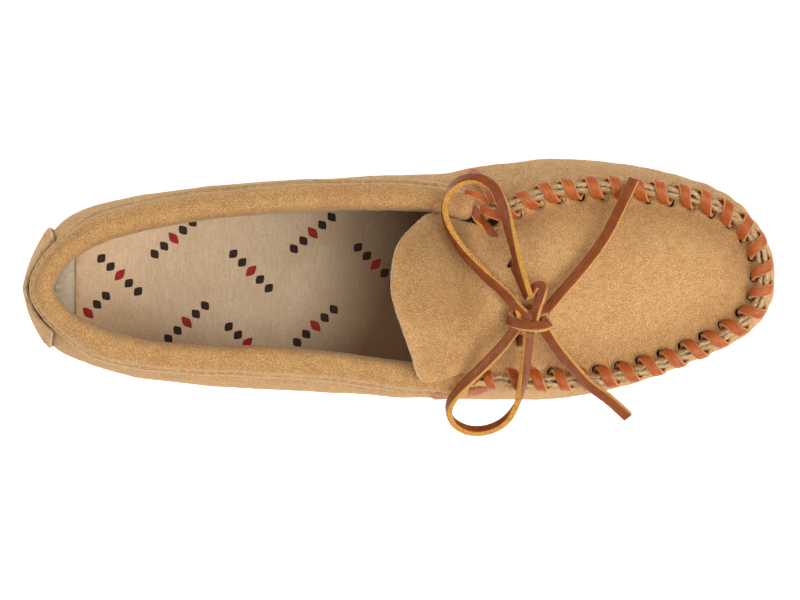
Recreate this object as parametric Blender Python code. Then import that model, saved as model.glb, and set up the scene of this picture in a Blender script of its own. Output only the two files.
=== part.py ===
"""A soft-sole suede moccasin for a right foot, modelled as its separate pieces.

Frame: +X to the toe, +Y to the medial (big toe) side, +Z up. The origin is on the ground, under
the middle of the shoe. Everything is in metres; the station table is in millimetres.
"""
import math

import bpy
import numpy as np
from mathutils import Vector

MM = 0.001
GAP = 0.3 * MM                 # play between pieces that touch on the real shoe
CURVED_GAP = 0.5 * MM          # play between the whipstitch and the ridge that it bends over
HEEL_GAP = 0.8 * MM            # play between the layers that bend round the heel

BOTTOM_THICK = 2.0 * MM        # suede of the one-piece bottom
PLUG_THICK = 1.8 * MM          # suede of the plug and the tongue
COLLAR_THICK = 1.5 * MM
TAB_THICK = 2.2 * MM
COUNTER_THICK = 1.0 * MM       # fibre stiffener in the heel
LINING_THICK = 1.0 * MM
FOAM_THICK = 3.0 * MM
COVER_THICK = 0.9 * MM

WIDEST_HEIGHT = 16.0 * MM      # height at which the wall stands furthest out
SOLE_INSET = 7.0 * MM          # how far the sole's flat edge lies inside the widest line
WALL_LEAN = 1.6                # above 1 the wall starts upright and leans in towards its top

SEAM_RIDGE = 5.0 * MM          # height of the upstanding seam round the plug
HOLE_LOW = 3.7 * MM            # a lace hole's lower and upper edge below the ridge's top
HOLE_HIGH = 1.5 * MM
HOLE_WIDTH = 5.4 * MM
STITCHES = 27
LACE_WIDTH = 3.4 * MM
LACE_THICK = 1.1 * MM
OVER_SHARE = 0.6               # share of one pitch that a stitch gains going over the ridge

TIE_WIDTH = 3.6 * MM
TIE_THICK = 1.4 * MM
CORD_RADIUS = 1.5 * MM         # plain round stand-in for the flat tie lace where it lies free
KNOT_CENTRE = Vector((49.3, -14.6, 63.4)) * MM
KNOT_RADIUS = 4.4 * MM
KNOT_HALF_WIDTH = 6.6 * MM
THREAD_RADIUS = 0.3 * MM

HINGE_X = 34.0 * MM            # the tongue folds up about this line across the throat,
HINGE_HEIGHT = 62.6 * MM       # level with the top of the instep's arch

# Stations round the shoe: from the medial end of the toe seam forward round the toe, back along
# the lateral side, round the heel and home, clockwise from above. Each gives, in mm, the widest
# line's x and y, and the top line's x, y and z. The top line is the toe seam's ridge up to
# station SEAM_END, and the top edge of the quarters after it.
STATIONS = np.array([
    (31.0, 43.3, 34.15, 25.6, 51.0),
    (55.0, 45.7, 54.5, 33.2, 47.5),
    (78.0, 45.1, 75.0, 35.5, 43.0),
    (100.0, 41.4, 95.0, 34.2, 38.5),
    (119.0, 35.6, 112.0, 31.4, 35.0),
    (132.0, 27.4, 126.0, 25.0, 32.5),
    (139.8, 15.0, 135.3, 14.8, 31.3),
    (142.5, 1.0, 138.2, 2.0, 31.0),
    (140.6, -9.5, 136.0, -9.5, 31.2),
    (134.0, -18.8, 129.0, -17.2, 32.2),
    (121.0, -26.9, 116.0, -25.0, 34.3),
    (101.5, -35.0, 98.0, -32.2, 38.0),
    (80.0, -41.2, 78.0, -37.2, 42.3),
    (57.0, -44.8, 56.0, -38.4, 47.2),
    (32.0, -45.5, 34.15, -38.0, 51.0),
    (9.0, -44.7, 10.0, -36.0, 50.5),
    (-18.0, -43.1, -17.0, -32.3, 49.5),
    (-45.0, -41.7, -45.0, -29.6, 49.0),
    (-75.0, -40.1, -75.0, -28.6, 50.5),
    (-101.0, -36.6, -100.0, -26.0, 53.0),
    (-121.0, -30.6, -117.0, -20.8, 55.5),
    (-133.0, -22.5, -129.0, -13.0, 57.0),
    (-140.2, -3.0, -134.5, -3.0, 57.5),
    (-133.0, 16.5, -128.5, 8.5, 57.0),
    (-121.0, 26.6, -116.0, 17.0, 55.5),
    (-101.0, 31.8, -100.0, 22.2, 53.0),
    (-75.0, 35.3, -75.0, 26.8, 50.5),
    (-45.0, 37.8, -45.0, 29.6, 49.0),
    (-15.0, 39.3, -15.0, 30.8, 49.5),
    (12.0, 40.2, 12.0, 29.8, 50.5),
]) * MM
SEAM_END = 14.0
LATERAL_COLLAR_END = 14.33
MEDIAL_COLLAR_END = 29.68
HEEL_STATION = 22.0

# The plug's high line runs down its middle: x, y, z of its upper surface.
PLUG_SPINE = [Vector(p) * MM for p in ((34.15, -6.0, 62.5), (60, -2.0, 57.0), (88, 0.5, 48.0), (112, 3.0, 40.0))]

# The tongue's free end, from its medial corner to its lateral corner: x, y, z of its upper face.
TONGUE_END = [Vector(p) * MM for p in (
    (11.7, 24.7, 60.5), (1.6, 16.4, 66.0), (-2.4, 6.0, 69.5), (-2.8, -3.0, 70.2),
    (0.8, -17.5, 68.0), (4.5, -27.0, 64.5), (10.4, -38.5, 59.5))]
TONGUE_ROOT_MEDIAL = 16.8 * MM
TONGUE_ROOT_LATERAL = -27.5 * MM

COLOURS = {
    "suede": (0.50, 0.33, 0.16),
    "suede_inside": (0.46, 0.30, 0.16),
    "lining": (0.72, 0.58, 0.44),
    "insole": (0.55, 0.44, 0.35),
    "foam": (0.80, 0.78, 0.70),
    "fibre": (0.45, 0.36, 0.26),
    "orange_lace": (0.52, 0.15, 0.04),
    "tie_lace": (0.30, 0.09, 0.03),
    "thread": (0.55, 0.40, 0.22),
}


def clear_scene():
    for item in list(bpy.data.objects):
        bpy.data.objects.remove(item, do_unlink=True)


def material(name):
    """A plain leather or textile finish, shared by the pieces cut from the same stock."""
    found = bpy.data.materials.get(name)
    if found:
        return found
    made = bpy.data.materials.new(name)
    made.use_nodes = True
    shader = made.node_tree.nodes["Principled BSDF"]
    shader.inputs["Base Color"].default_value = (*COLOURS[name], 1.0)
    shader.inputs["Roughness"].default_value = 0.45 if "lace" in name else 0.9
    shader.inputs["Metallic"].default_value = 0.0
    return made


def add_object(name, data, stock):
    """Put a mesh or a curve into the scene in the material of its stock."""
    made = bpy.data.objects.new(name, data)
    made.data.materials.append(material(stock))
    bpy.context.scene.collection.objects.link(made)
    return made


def mesh_object(name, points, faces, stock):
    mesh = bpy.data.meshes.new(name)
    mesh.from_pydata([tuple(p) for p in points], [], faces)
    mesh.validate()
    mesh.shade_smooth()
    mesh.set_sharp_from_angle(angle=math.radians(40))
    return add_object(name, mesh, stock)


def sheet(name, points, faces, thick, stock):
    """A sheet of the given thickness, lying behind the surface that the faces describe."""
    made = mesh_object(name, points, faces, stock)
    solid = made.modifiers.new("thickness", "SOLIDIFY")
    solid.thickness = thick
    solid.offset = -1.0
    solid.use_even_offset = True
    return made


def strip_faces(rows, columns, closed=False, skip=()):
    """Faces of a grid of points stored row by row, leaving out the (row, column) cells in skip."""
    faces = []
    for row in range(rows - 1):
        for column in range(columns if closed else columns - 1):
            if (row, column) in skip:
                continue
            after = (column + 1) % columns
            low, high = row * columns, (row + 1) * columns
            faces.append((low + column, high + column, high + after, low + after))
    return faces


def catmull(table, place, closed):
    """The point at a fractional row number of a table, on a Catmull-Rom curve through its rows."""
    count = len(table)
    base = math.floor(place)
    part = place - base
    if not closed:
        base = min(max(base, 0), count - 2)
        part = place - base
    rows = []
    for step in (-1, 0, 1, 2):
        index = (base + step) % count if closed else min(max(base + step, 0), count - 1)
        rows.append(np.asarray(table[index], dtype=float))
    a, b, c, d = rows
    return 0.5 * (2 * b + (c - a) * part + (2 * a - 5 * b + 4 * c - d) * part ** 2
                  + (3 * b - a - 3 * c + d) * part ** 3)


def curve_points(table, per_span):
    """Points along the open Catmull-Rom curve through the table's rows."""
    spans = len(table) - 1
    return [Vector(catmull(table, i / per_span, False)) for i in range(spans * per_span + 1)]


def widest(place):
    row = catmull(STATIONS, place, True)
    return Vector((row[0], row[1], WIDEST_HEIGHT))


def top_line(place):
    row = catmull(STATIONS, place, True)
    return Vector((row[2], row[3], row[4]))


def outward(line, place):
    """The horizontal unit vector that points out of the shoe, square to a line round it."""
    step = 0.02
    along = line(place + step) - line(place - step)
    return Vector((-along.y, along.x, 0.0)).normalized()


def wall(place, height):
    """The point on the outer face of the shoe's wall at a height."""
    wide = widest(place)
    top = top_line(place)
    flange = top + outward(top_line, place) * (GAP / 2 + BOTTOM_THICK)
    flange_base = top.z - SEAM_RIDGE
    if height <= WIDEST_HEIGHT:
        drop = math.asin(min(1.0, 1.0 - height / WIDEST_HEIGHT))
        spot = wide - outward(widest, place) * SOLE_INSET * (1.0 - math.cos(drop))
    else:
        share = min(1.0, (height - WIDEST_HEIGHT) / (flange_base - WIDEST_HEIGHT))
        spot = wide.lerp(flange, share ** WALL_LEAN)
    return Vector((spot.x, spot.y, height))


def behind_wall(place, height, depth):
    """The point a depth behind the wall's outer face; a negative depth lies in front of it."""
    step = 0.5 * MM
    up = wall(place, height + step) - wall(place, max(height - step, 0.0))
    along = wall(place + 0.02, height) - wall(place - 0.02, height)
    return wall(place, height) - up.cross(along).normalized() * depth


def seam_table():
    """Pairs of distance along the toe seam and station number, from its medial end."""
    steps = 560
    places = [SEAM_END * i / steps for i in range(steps + 1)]
    points = [top_line(p) for p in places]
    lengths = [0.0]
    for before, after in zip(points, points[1:]):
        lengths.append(lengths[-1] + (after - before).length)
    return np.array(lengths), np.array(places)


SEAM_LENGTHS, SEAM_PLACES = seam_table()
PITCH = SEAM_LENGTHS[-1] / (STITCHES + 0.75)


def seam_place(distance):
    return float(np.interp(distance, SEAM_LENGTHS, SEAM_PLACES))


def hole_columns(phase):
    """Station numbers of the seam's grid columns: each hole's two sides, and the seam's ends.

    The phase is how far, in pitches, each hole's middle lies past the start of the next stitch.
    """
    places = [0.0]
    for stitch in range(STITCHES):
        middle = (stitch + 1 + phase) * PITCH
        places.append(seam_place(middle - HOLE_WIDTH / 2))
        places.append(seam_place(middle + HOLE_WIDTH / 2))
    places.append(SEAM_END)
    return places


RIDGE_OUTER = GAP / 2 + BOTTOM_THICK
RIDGE_INNER = GAP / 2 + PLUG_THICK
LACE_OUTER = RIDGE_OUTER + CURVED_GAP + LACE_THICK / 2
LACE_INNER = RIDGE_INNER + CURVED_GAP + LACE_THICK / 2
LACE_START = 0.35              # first stitch's outer end, in pitches from the seam's end


def hole_phase(offset):
    """Where in its pitch the lace, slanting out through both layers, crosses this offset."""
    crossed = (LACE_INNER + offset) / (LACE_INNER + LACE_OUTER)
    return LACE_START + OVER_SHARE + (1.0 - OVER_SHARE) * crossed - 1.0


def make_bottom():
    """Sole and walls in one piece of suede, with the outer half of the toe seam's ridge."""
    phase = hole_phase(GAP / 2 + BOTTOM_THICK / 2)
    seam = hole_columns(phase)
    quarter_columns = 36
    quarters = [SEAM_END + (len(STATIONS) - SEAM_END) * i / quarter_columns
                for i in range(1, quarter_columns)]
    places = seam + quarters
    points = []
    drops = [math.radians(a) for a in (90, 60, 30)]
    shares = (0.0, 0.4, 0.75)
    for drop in drops:
        height = WIDEST_HEIGHT * (1.0 - math.sin(drop))
        points += [wall(p, height) for p in places]
    for share in shares:
        points += [wall(p, WIDEST_HEIGHT + share * (top_line(p).z - SEAM_RIDGE - WIDEST_HEIGHT))
                   for p in places]
    for below in (SEAM_RIDGE, HOLE_LOW, HOLE_HIGH, 0.0):
        points += [wall(p, top_line(p).z - below) for p in places]
    rows = len(drops) + len(shares) + 4
    hole_row = rows - 3
    holes = {(hole_row, 1 + 2 * stitch) for stitch in range(STITCHES)}
    faces = strip_faces(rows, len(places), closed=True, skip=holes)
    faces.append(tuple(range(len(places))))
    sheet("suede_bottom", points, faces, BOTTOM_THICK, "suede")


def spine_point(share):
    return Vector(catmull(PLUG_SPINE, share * (len(PLUG_SPINE) - 1), False))


def make_plug():
    """The apron over the toes, with the inner half of the ridge turned up round its edge."""
    places = hole_columns(hole_phase(-GAP / 2 - PLUG_THICK / 2))
    count = len(places)
    fan = 18                   # columns either side that end on their own point of the spine
    points = []
    for below in (0.0, HOLE_HIGH, HOLE_LOW, SEAM_RIDGE):
        for place in places:
            top = top_line(place)
            side = outward(top_line, place)
            if place in (0.0, SEAM_END):
                side = Vector((0.0, math.copysign(1.0, side.y), 0.0))
            spot = top - side * RIDGE_INNER
            points.append(Vector((spot.x, spot.y, top.z - below)))
    base = points[-count:]
    spine = [spine_point(i / fan) for i in range(fan + 1)]
    inward_shares = (0.14, 0.34, 0.6, 0.82)
    for share in inward_shares:
        for column, edge in enumerate(base):
            middle = spine[min(column, count - 1 - column, fan)]
            spot = edge.lerp(middle, share)
            spot.z = edge.z + (middle.z - edge.z) * math.sin(share * math.pi / 2) ** 0.9
            points.append(spot)
    rows = 4 + len(inward_shares)
    holes = {(1, 1 + 2 * stitch) for stitch in range(STITCHES)}
    faces = strip_faces(rows, count, skip=holes)
    first_spine = len(points)
    points += spine
    last_row = (rows - 1) * count
    for column in range(count - 1):
        here = first_spine + min(column, count - 1 - column, fan)
        after = first_spine + min(column + 1, count - 2 - column, fan)
        face = (last_row + column, here, after, last_row + column + 1)
        faces.append(face if here != after else (face[0], here, face[3]))
    plug = sheet("plug", points, faces, PLUG_THICK, "suede")
    cut_slit(plug, "medial_slit", Vector((42.8, 6.6, 57.5)) * MM, math.radians(27))
    cut_slit(plug, "lateral_slit", Vector((45.6, -23.3, 54.0)) * MM, math.radians(114))


def cut_slit(piece, name, spot, turn):
    """Cut a slot through the sheet, where the tie lace comes up through it."""
    half = Vector((2.7 * MM, 2.2 * MM, 5.0 * MM))
    corners = [Vector((x * half.x, y * half.y, z * half.z))
               for z in (-1, 1) for x, y in ((-1, -1), (1, -1), (1, 1), (-1, 1))]
    faces = [(3, 2, 1, 0), (4, 5, 6, 7)]
    faces += [(i, (i + 1) % 4, (i + 1) % 4 + 4, i + 4) for i in range(4)]
    cutter = mesh_object(name + "_cutter", corners, faces, "suede")
    cutter.location = spot
    cutter.rotation_euler = (0.0, 0.0, turn)
    cutter.hide_render = True
    cutter.display_type = "WIRE"
    slot = piece.modifiers.new(name, "BOOLEAN")
    slot.operation = "DIFFERENCE"
    slot.solver = "EXACT"
    slot.object = cutter


def make_tongue(hinge):
    """The free flap at the throat, cut from one hide with the plug, folding along the hinge."""
    columns, rows = 15, 6
    front = HINGE_X - GAP / 2
    points = []
    for row in range(rows):
        back = row / (rows - 1)
        for column in range(columns):
            share = column / (columns - 1)
            y = TONGUE_ROOT_MEDIAL + (TONGUE_ROOT_LATERAL - TONGUE_ROOT_MEDIAL) * share
            root = Vector((front, y, throat_height(y)))
            end = Vector(catmull(TONGUE_END, share * (len(TONGUE_END) - 1), False))
            spot = root.lerp(end, back)
            points.append(spot)
    flap = sheet("tongue_flap", points, strip_faces(rows, columns), PLUG_THICK, "suede")
    carry(flap, hinge)


def throat_height(y):
    """Height of the plug's upper face along its rear edge."""
    spine = spine_point(0.0)
    edge_y = 25.6 * MM - RIDGE_INNER if y > spine.y else -38.0 * MM + RIDGE_INNER
    edge_z = 51.0 * MM - SEAM_RIDGE
    share = (edge_y - y) / (edge_y - spine.y)
    return edge_z + (spine.z - edge_z) * math.sin(share * math.pi / 2) ** 0.9


# The collar's outer face seen end on: distance out from the top line and height above it, in mm,
# from the edge sewn on outside, over the roll, to the edge inside the shoe.
COLLAR_PROFILE = [(5.3, -6.0), (5.5, -1.5), (4.9, 2.2), (2.9, 4.5), (0.3, 5.0), (-2.3, 4.3),
                  (-4.0, 1.8), (-4.4, -1.8), (-3.7, -7.0), (-2.7, -12.5)]


def collar_point(place, out, up):
    return top_line(place) + outward(top_line, place) * out * MM + Vector((0, 0, up * MM))


def make_collar():
    """The folded cuff round the opening, which is the tunnel that the tie lace runs in."""
    columns = 38
    span = MEDIAL_COLLAR_END - LATERAL_COLLAR_END
    places = [LATERAL_COLLAR_END + span * i / (columns - 1) for i in range(columns)]
    points = [collar_point(p, out, up) for out, up in COLLAR_PROFILE for p in places]
    faces = strip_faces(len(COLLAR_PROFILE), columns)
    sheet("collar", points, faces, COLLAR_THICK, "suede")


def heel_sheet(name, half_span, heights, depth, thick, stock):
    """A sheet wrapped round the heel's wall: half its span in stations, its edge heights, and how
    deep its outward face lies behind the wall's outer face."""
    columns = 17
    places = [HEEL_STATION + half_span * (2 * i / (columns - 1) - 1) for i in range(columns)]
    points = [behind_wall(p, h, depth) for h in heights for p in places]
    sheet(name, points, strip_faces(len(heights), columns), thick, stock)


def make_heel_pieces():
    """The stiffener and lining inside the heel, and the tab sewn up the outside of it."""
    heights = np.linspace(9.0, 43.0, 6) * MM
    counter_depth = BOTTOM_THICK + HEEL_GAP
    lining_depth = counter_depth + COUNTER_THICK + HEEL_GAP
    heel_sheet("heel_counter", 2.4, heights, counter_depth, COUNTER_THICK, "fibre")
    heel_sheet("heel_lining", 2.9, heights, lining_depth, LINING_THICK, "lining")
    tab_heights = np.linspace(3.0, 45.0, 7) * MM
    heel_sheet("heel_tab", 1.15, tab_heights, -GAP - TAB_THICK, TAB_THICK, "suede")


def outline_at(inset, rear_limit):
    """The shoe's widest line drawn in by the inset, and cut straight off at the rear limit."""
    points = []
    columns = 64
    for column in range(columns):
        place = len(STATIONS) * column / columns
        spot = widest(place) - outward(widest, place) * inset
        points.append(Vector((max(spot.x, rear_limit), spot.y, 0.0)))
    return points


def flat_pad(name, inset, rear_limit, base, thick, stock):
    ring = outline_at(inset, rear_limit)
    top = [p + Vector((0, 0, base + thick)) for p in ring]
    sheet(name, top, [tuple(reversed(range(len(ring))))], thick, stock)


def make_insole():
    foam_base = BOTTOM_THICK + GAP
    flat_pad("insole_foam", 9.0 * MM, -131.0 * MM, foam_base, FOAM_THICK, "foam")
    cover_base = foam_base + FOAM_THICK + GAP
    flat_pad("insole_cover", 9.0 * MM, -123.0 * MM, cover_base, COVER_THICK, "insole")


def ribbon(name, centres, sides, width, thick, stock):
    """A flat lace swept along its centres; each side vector lies across its width."""
    points = []
    for index, centre in enumerate(centres):
        before = centres[max(index - 1, 0)]
        after = centres[min(index + 1, len(centres) - 1)]
        into = (centre - before).normalized() if index else (after - centre).normalized()
        out_of = (after - centre).normalized() if index < len(centres) - 1 else into
        side = sides[index].normalized()
        level_in = into.cross(side).normalized()
        level_out = out_of.cross(side).normalized()
        level = (level_in + level_out).normalized()
        level = level / max(0.6, level.dot(level_in))
        for across, through in ((-1, -1), (1, -1), (1, 1), (-1, 1)):
            points.append(centre + side * across * width / 2 + level * through * thick / 2)
    faces = [(3, 2, 1, 0)]
    for ring in range(len(centres) - 1):
        for corner in range(4):
            after = (corner + 1) % 4
            faces.append((4 * ring + corner, 4 * ring + after, 4 * ring + 4 + after, 4 * ring + 4 + corner))
    last = 4 * (len(centres) - 1)
    faces.append((last, last + 1, last + 2, last + 3))
    return mesh_object(name, points, faces, stock)


# One stitch seen along the ridge, from the outer hole over the ridge to the inner hole: distance
# out from the ridge's middle and height above its top, in mm.
STITCH_PROFILE = [(LACE_OUTER / MM, -2.2), (LACE_OUTER / MM, 0.2), (2.55, 1.05), (1.6, 1.3),
                  (-1.5, 1.3), (-2.4, 1.05), (-LACE_INNER / MM, 0.2), (-LACE_INNER / MM, -2.2)]
LACE_HEIGHT = -2.6 * MM        # height of the lace in its holes, from the ridge's top


def make_whipstitch():
    """One flat lace wound over the ridge and out through its holes, from throat to throat."""
    centres, sides = [], []

    def lay(distance, out, up):
        place = seam_place(distance)
        centres.append(top_line(place) + outward(top_line, place) * out + Vector((0, 0, up)))
        ahead = top_line(place + 0.02) - top_line(place - 0.02)
        sides.append(Vector((ahead.x, ahead.y, 0.0)))

    for stitch in range(STITCHES):
        start = (stitch + LACE_START) * PITCH
        for step, (out, up) in enumerate(STITCH_PROFILE):
            gained = OVER_SHARE * PITCH * step / (len(STITCH_PROFILE) - 1)
            lay(start + gained, out * MM, up * MM)
        inner = start + OVER_SHARE * PITCH
        for share in (0.07, 0.93):
            out = -LACE_INNER + share * (LACE_INNER + LACE_OUTER)
            lay(inner + share * (1.0 - OVER_SHARE) * PITCH, out, LACE_HEIGHT)
    ribbon("whipstitch_lace", centres, sides, LACE_WIDTH, LACE_THICK, "orange_lace")


# The tie lace's two ends beyond the collar, in mm: out of the tunnel's mouth, under the throat's
# edge, up through the plug's slit and on to the knot.
TIE_MEDIAL_END = [(29.8, 23.2, 50.8), (32.4, 18.4, 46.4), (37.4, 12.4, 49.4), (40.8, 9.0, 52.6),
                  (42.5, 6.7, 57.0), (43.7, 4.2, 61.4), (46.2, -1.4, 62.2), (48.6, -6.9, 62.6)]
TIE_LATERAL_END = [(29.6, -35.0, 51.0), (32.2, -31.0, 46.6), (36.6, -27.0, 46.8), (40.6, -24.4, 48.2),
                   (43.6, -23.5, 49.4), (45.5, -23.2, 53.6), (46.6, -22.9, 57.4), (48.4, -22.4, 61.4)]


def make_tie_lace_run():
    """The tie lace where the shoe holds it: round the heel in the collar, and up to the knot."""
    columns = 40
    first = LATERAL_COLLAR_END - 0.06
    last = MEDIAL_COLLAR_END + 0.04
    centres, sides = [], []
    tunnel = [first + (last - first) * i / (columns - 1) for i in range(columns)]
    middle = [collar_point(p, 0.3, 1.55) for p in tunnel]
    medial = smooth_tail([middle[-3], middle[-1]] + [Vector(p) * MM for p in TIE_MEDIAL_END])
    lateral = smooth_tail([middle[2], middle[0]] + [Vector(p) * MM for p in TIE_LATERAL_END])
    centres = lateral[::-1] + middle[1:-1] + medial
    for index, centre in enumerate(centres):
        ahead = centres[min(index + 1, len(centres) - 1)] - centres[max(index - 1, 0)]
        level = Vector((-ahead.y, ahead.x, 0.0))
        sides.append(level)
    ribbon("tie_lace_run", centres, sides, TIE_WIDTH, TIE_THICK, "tie_lace")


def smooth_tail(route):
    """A smooth curve through the route's points after its first, which only sets its start."""
    per_span = 4
    return curve_points(route, per_span)[per_span:]


def cord(name, route, radius, per_span, stock, sides=2):
    """A plain round cord on a smooth curve through the route's points."""
    data = bpy.data.curves.new(name, "CURVE")
    data.dimensions = "3D"
    data.bevel_depth = radius
    data.bevel_resolution = sides
    data.use_fill_caps = True
    points = curve_points(route, per_span)
    spline = data.splines.new("POLY")
    spline.points.add(len(points) - 1)
    for index, point in enumerate(points):
        spline.points[index].co = (*point, 1.0)
    return add_object(name, data, stock)


# The bow's free parts, in mm, each from the knot outwards.
MEDIAL_LOOP = [(44.6, -10.6, 66.9), (39.4, -4.6, 66.6), (30.6, 3.6, 65.2), (22.6, 12.6, 64.6),
               (17.6, 22.0, 63.0), (17.4, 30.0, 60.2), (21.6, 36.2, 57.8), (28.0, 38.2, 56.6),
               (34.6, 35.6, 56.8), (39.0, 28.0, 58.2), (41.8, 18.0, 60.8), (44.6, 7.0, 64.2),
               (47.6, -2.6, 66.8), (49.0, -6.6, 68.4)]
LATERAL_LOOP = [(44.4, -17.4, 66.3), (38.6, -25.0, 64.6), (30.4, -33.6, 62.2), (23.0, -41.0, 58.6),
                (18.8, -47.4, 54.2), (19.8, -53.0, 50.0), (25.6, -56.6, 47.6), (33.0, -56.6, 47.2),
                (39.8, -53.2, 48.8), (44.2, -47.0, 51.6), (46.4, -39.0, 55.6), (47.6, -30.6, 60.2),
                (48.4, -23.4, 66.4), (48.6, -20.6, 68.6)]
MEDIAL_TAIL = [(55.0, -12.0, 65.0), (60.4, -5.4, 63.0), (68.8, 4.4, 59.4), (77.2, 15.6, 54.0),
               (83.4, 27.4, 48.2), (88.6, 38.0, 44.6)]
LATERAL_TAIL = [(54.8, -18.8, 63.8), (60.4, -27.0, 58.6), (70.4, -38.4, 49.6), (79.0, -45.0, 44.0),
                (86.4, -51.6, 39.6)]


def make_bow(loops_pivot):
    """The bow's knot, its two loops and its two tails."""
    rings, around = 8, 14
    points = [KNOT_CENTRE + Vector((0, -KNOT_HALF_WIDTH, 0))]
    for ring in range(1, rings):
        angle = math.pi * ring / rings
        for step in range(around):
            turn = 2 * math.pi * step / around
            radius = KNOT_RADIUS * math.sin(angle)
            points.append(KNOT_CENTRE + Vector((radius * math.cos(turn), -KNOT_HALF_WIDTH * math.cos(angle),
                                                radius * math.sin(turn))))
    points.append(KNOT_CENTRE + Vector((0, KNOT_HALF_WIDTH, 0)))
    end = len(points) - 1
    faces = []
    for step in range(around):
        after = (step + 1) % around
        faces.append((0, 1 + step, 1 + after))
        last = end - around
        faces.append((end, last + after, last + step))
        for ring in range(rings - 2):
            low = 1 + ring * around
            faces.append((low + step, low + around + step, low + around + after, low + after))
    mesh_object("bow_knot", points, faces, "tie_lace")
    loops = {"bow_loop_medial": MEDIAL_LOOP, "bow_loop_lateral": LATERAL_LOOP}
    for name, route in loops.items():
        carry(cord(name, [Vector(p) * MM for p in route], CORD_RADIUS, 2, "tie_lace"), loops_pivot)
    tails = {"lace_tail_medial": MEDIAL_TAIL, "lace_tail_lateral": LATERAL_TAIL}
    for name, route in tails.items():
        cord(name, [Vector(p) * MM for p in route], CORD_RADIUS, 3, "tie_lace")


def make_threads():
    """The sewing that holds the collar down outside, and the heel tab on."""
    steps = 38
    first, last = LATERAL_COLLAR_END + 0.1, MEDIAL_COLLAR_END - 0.1
    out = 5.4 + (GAP + THREAD_RADIUS) / MM + 0.1
    route = [collar_point(first + (last - first) * i / steps, out, -4.6) for i in range(steps + 1)]
    cord("collar_thread", route, THREAD_RADIUS, 1, "thread", sides=0)
    depth = -(GAP + TAB_THICK + GAP + THREAD_RADIUS)
    low, high, half = 9.0 * MM, 41.5 * MM, 1.0
    route = [behind_wall(HEEL_STATION - half, low + (high - low) * i / 8, depth) for i in range(8)]
    route += [behind_wall(HEEL_STATION - half + 2 * half * i / 16, high, depth) for i in range(17)]
    route += [behind_wall(HEEL_STATION + half, high - (high - low) * i / 8, depth) for i in range(1, 9)]
    cord("heel_tab_thread", route, THREAD_RADIUS, 1, "thread", sides=0)


def pivot(name, spot):
    """An empty on a joint's axis, which carries the pieces that the joint moves."""
    made = bpy.data.objects.new(name, None)
    made.location = spot
    bpy.context.scene.collection.objects.link(made)
    return made


def carry(piece, empty):
    piece.parent = empty
    piece.matrix_parent_inverse.translation = -empty.location


def main():
    clear_scene()
    tongue_hinge = pivot("tongue_hinge", Vector((HINGE_X, 0.0, HINGE_HEIGHT)))
    loops_pivot = pivot("loops_pivot", KNOT_CENTRE)
    make_bottom()
    make_plug()
    make_tongue(tongue_hinge)
    make_collar()
    make_heel_pieces()
    make_insole()
    make_whipstitch()
    make_tie_lace_run()
    make_bow(loops_pivot)
    make_threads()


main()
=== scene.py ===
"""The looks of a soft-sole suede moccasin for a right foot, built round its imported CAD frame.

Frame: +X to the toe, +Y to the medial (big toe) side, +Z up. Tables and working arrays are in
millimetres; meshes are made in metres.
"""
import math

import bpy
import numpy as np
from mathutils.geometry import delaunay_2d_cdt
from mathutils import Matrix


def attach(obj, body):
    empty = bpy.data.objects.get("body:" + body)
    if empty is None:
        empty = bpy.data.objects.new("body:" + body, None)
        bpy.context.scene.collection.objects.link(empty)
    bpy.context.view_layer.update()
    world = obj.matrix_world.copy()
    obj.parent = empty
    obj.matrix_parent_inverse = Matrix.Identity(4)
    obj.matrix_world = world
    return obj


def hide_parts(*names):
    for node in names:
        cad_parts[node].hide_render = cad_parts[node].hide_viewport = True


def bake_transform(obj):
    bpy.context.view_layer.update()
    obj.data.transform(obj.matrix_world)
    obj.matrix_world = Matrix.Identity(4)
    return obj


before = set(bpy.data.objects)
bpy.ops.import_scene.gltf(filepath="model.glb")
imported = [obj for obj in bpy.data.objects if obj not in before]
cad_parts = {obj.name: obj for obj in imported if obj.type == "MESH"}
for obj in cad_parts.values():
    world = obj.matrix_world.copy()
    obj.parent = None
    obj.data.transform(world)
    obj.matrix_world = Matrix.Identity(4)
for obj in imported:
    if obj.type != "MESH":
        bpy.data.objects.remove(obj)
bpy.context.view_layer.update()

MM = 0.001
UP = np.array([0.0, 0.0, 1.0])

# ---------------------------------------------------------------- camera and lights

CAMERA_PLACE = (0.0002, -0.00755, 5.04)
CAMERA_LENS = 595.0
WORLD_STRENGTH = 0.22
WHITE = (1.0, 1.0, 1.0, 1.0)

# Name, place, size, power and colour.
LIGHTS = [("key", (0.85, -0.45, 1.25), 1.2, 16.5, (1.0, 0.98, 0.95)),
          ("fill", (-1.1, 0.45, 1.0), 0.8, 5.0, (0.99, 0.99, 1.0)),
          ("top", (0.05, -0.10, 1.8), 1.0, 5.0, (1.0, 1.0, 1.0))]


def make_camera():
    data = bpy.data.cameras.new("camera")
    data.lens = CAMERA_LENS
    data.sensor_width = 36.0
    data.clip_end = 100.0
    camera = bpy.data.objects.new("camera", data)
    camera.location = CAMERA_PLACE
    bpy.context.scene.collection.objects.link(camera)
    bpy.context.scene.camera = camera


def make_light(name, spot, size, power, colour):
    """A round soft light that looks at the origin."""
    data = bpy.data.lights.new(name, "AREA")
    data.shape = "DISK"
    data.size = size
    data.energy = power
    data.color = colour
    light = bpy.data.objects.new(name, data)
    light.location = spot
    light.rotation_euler = light.location.to_track_quat("Z", "Y").to_euler()
    bpy.context.scene.collection.objects.link(light)


def make_studio():
    make_camera()
    for row in LIGHTS:
        make_light(*row)
    world = bpy.data.worlds.new("studio")
    world.use_nodes = True
    background = world.node_tree.nodes["Background"].inputs
    background["Color"].default_value = WHITE
    background["Strength"].default_value = WORLD_STRENGTH
    bpy.context.scene.world = world
    bpy.context.scene.view_settings.view_transform = "Standard"
    bpy.context.scene.view_settings.look = "None"


make_studio()

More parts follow.
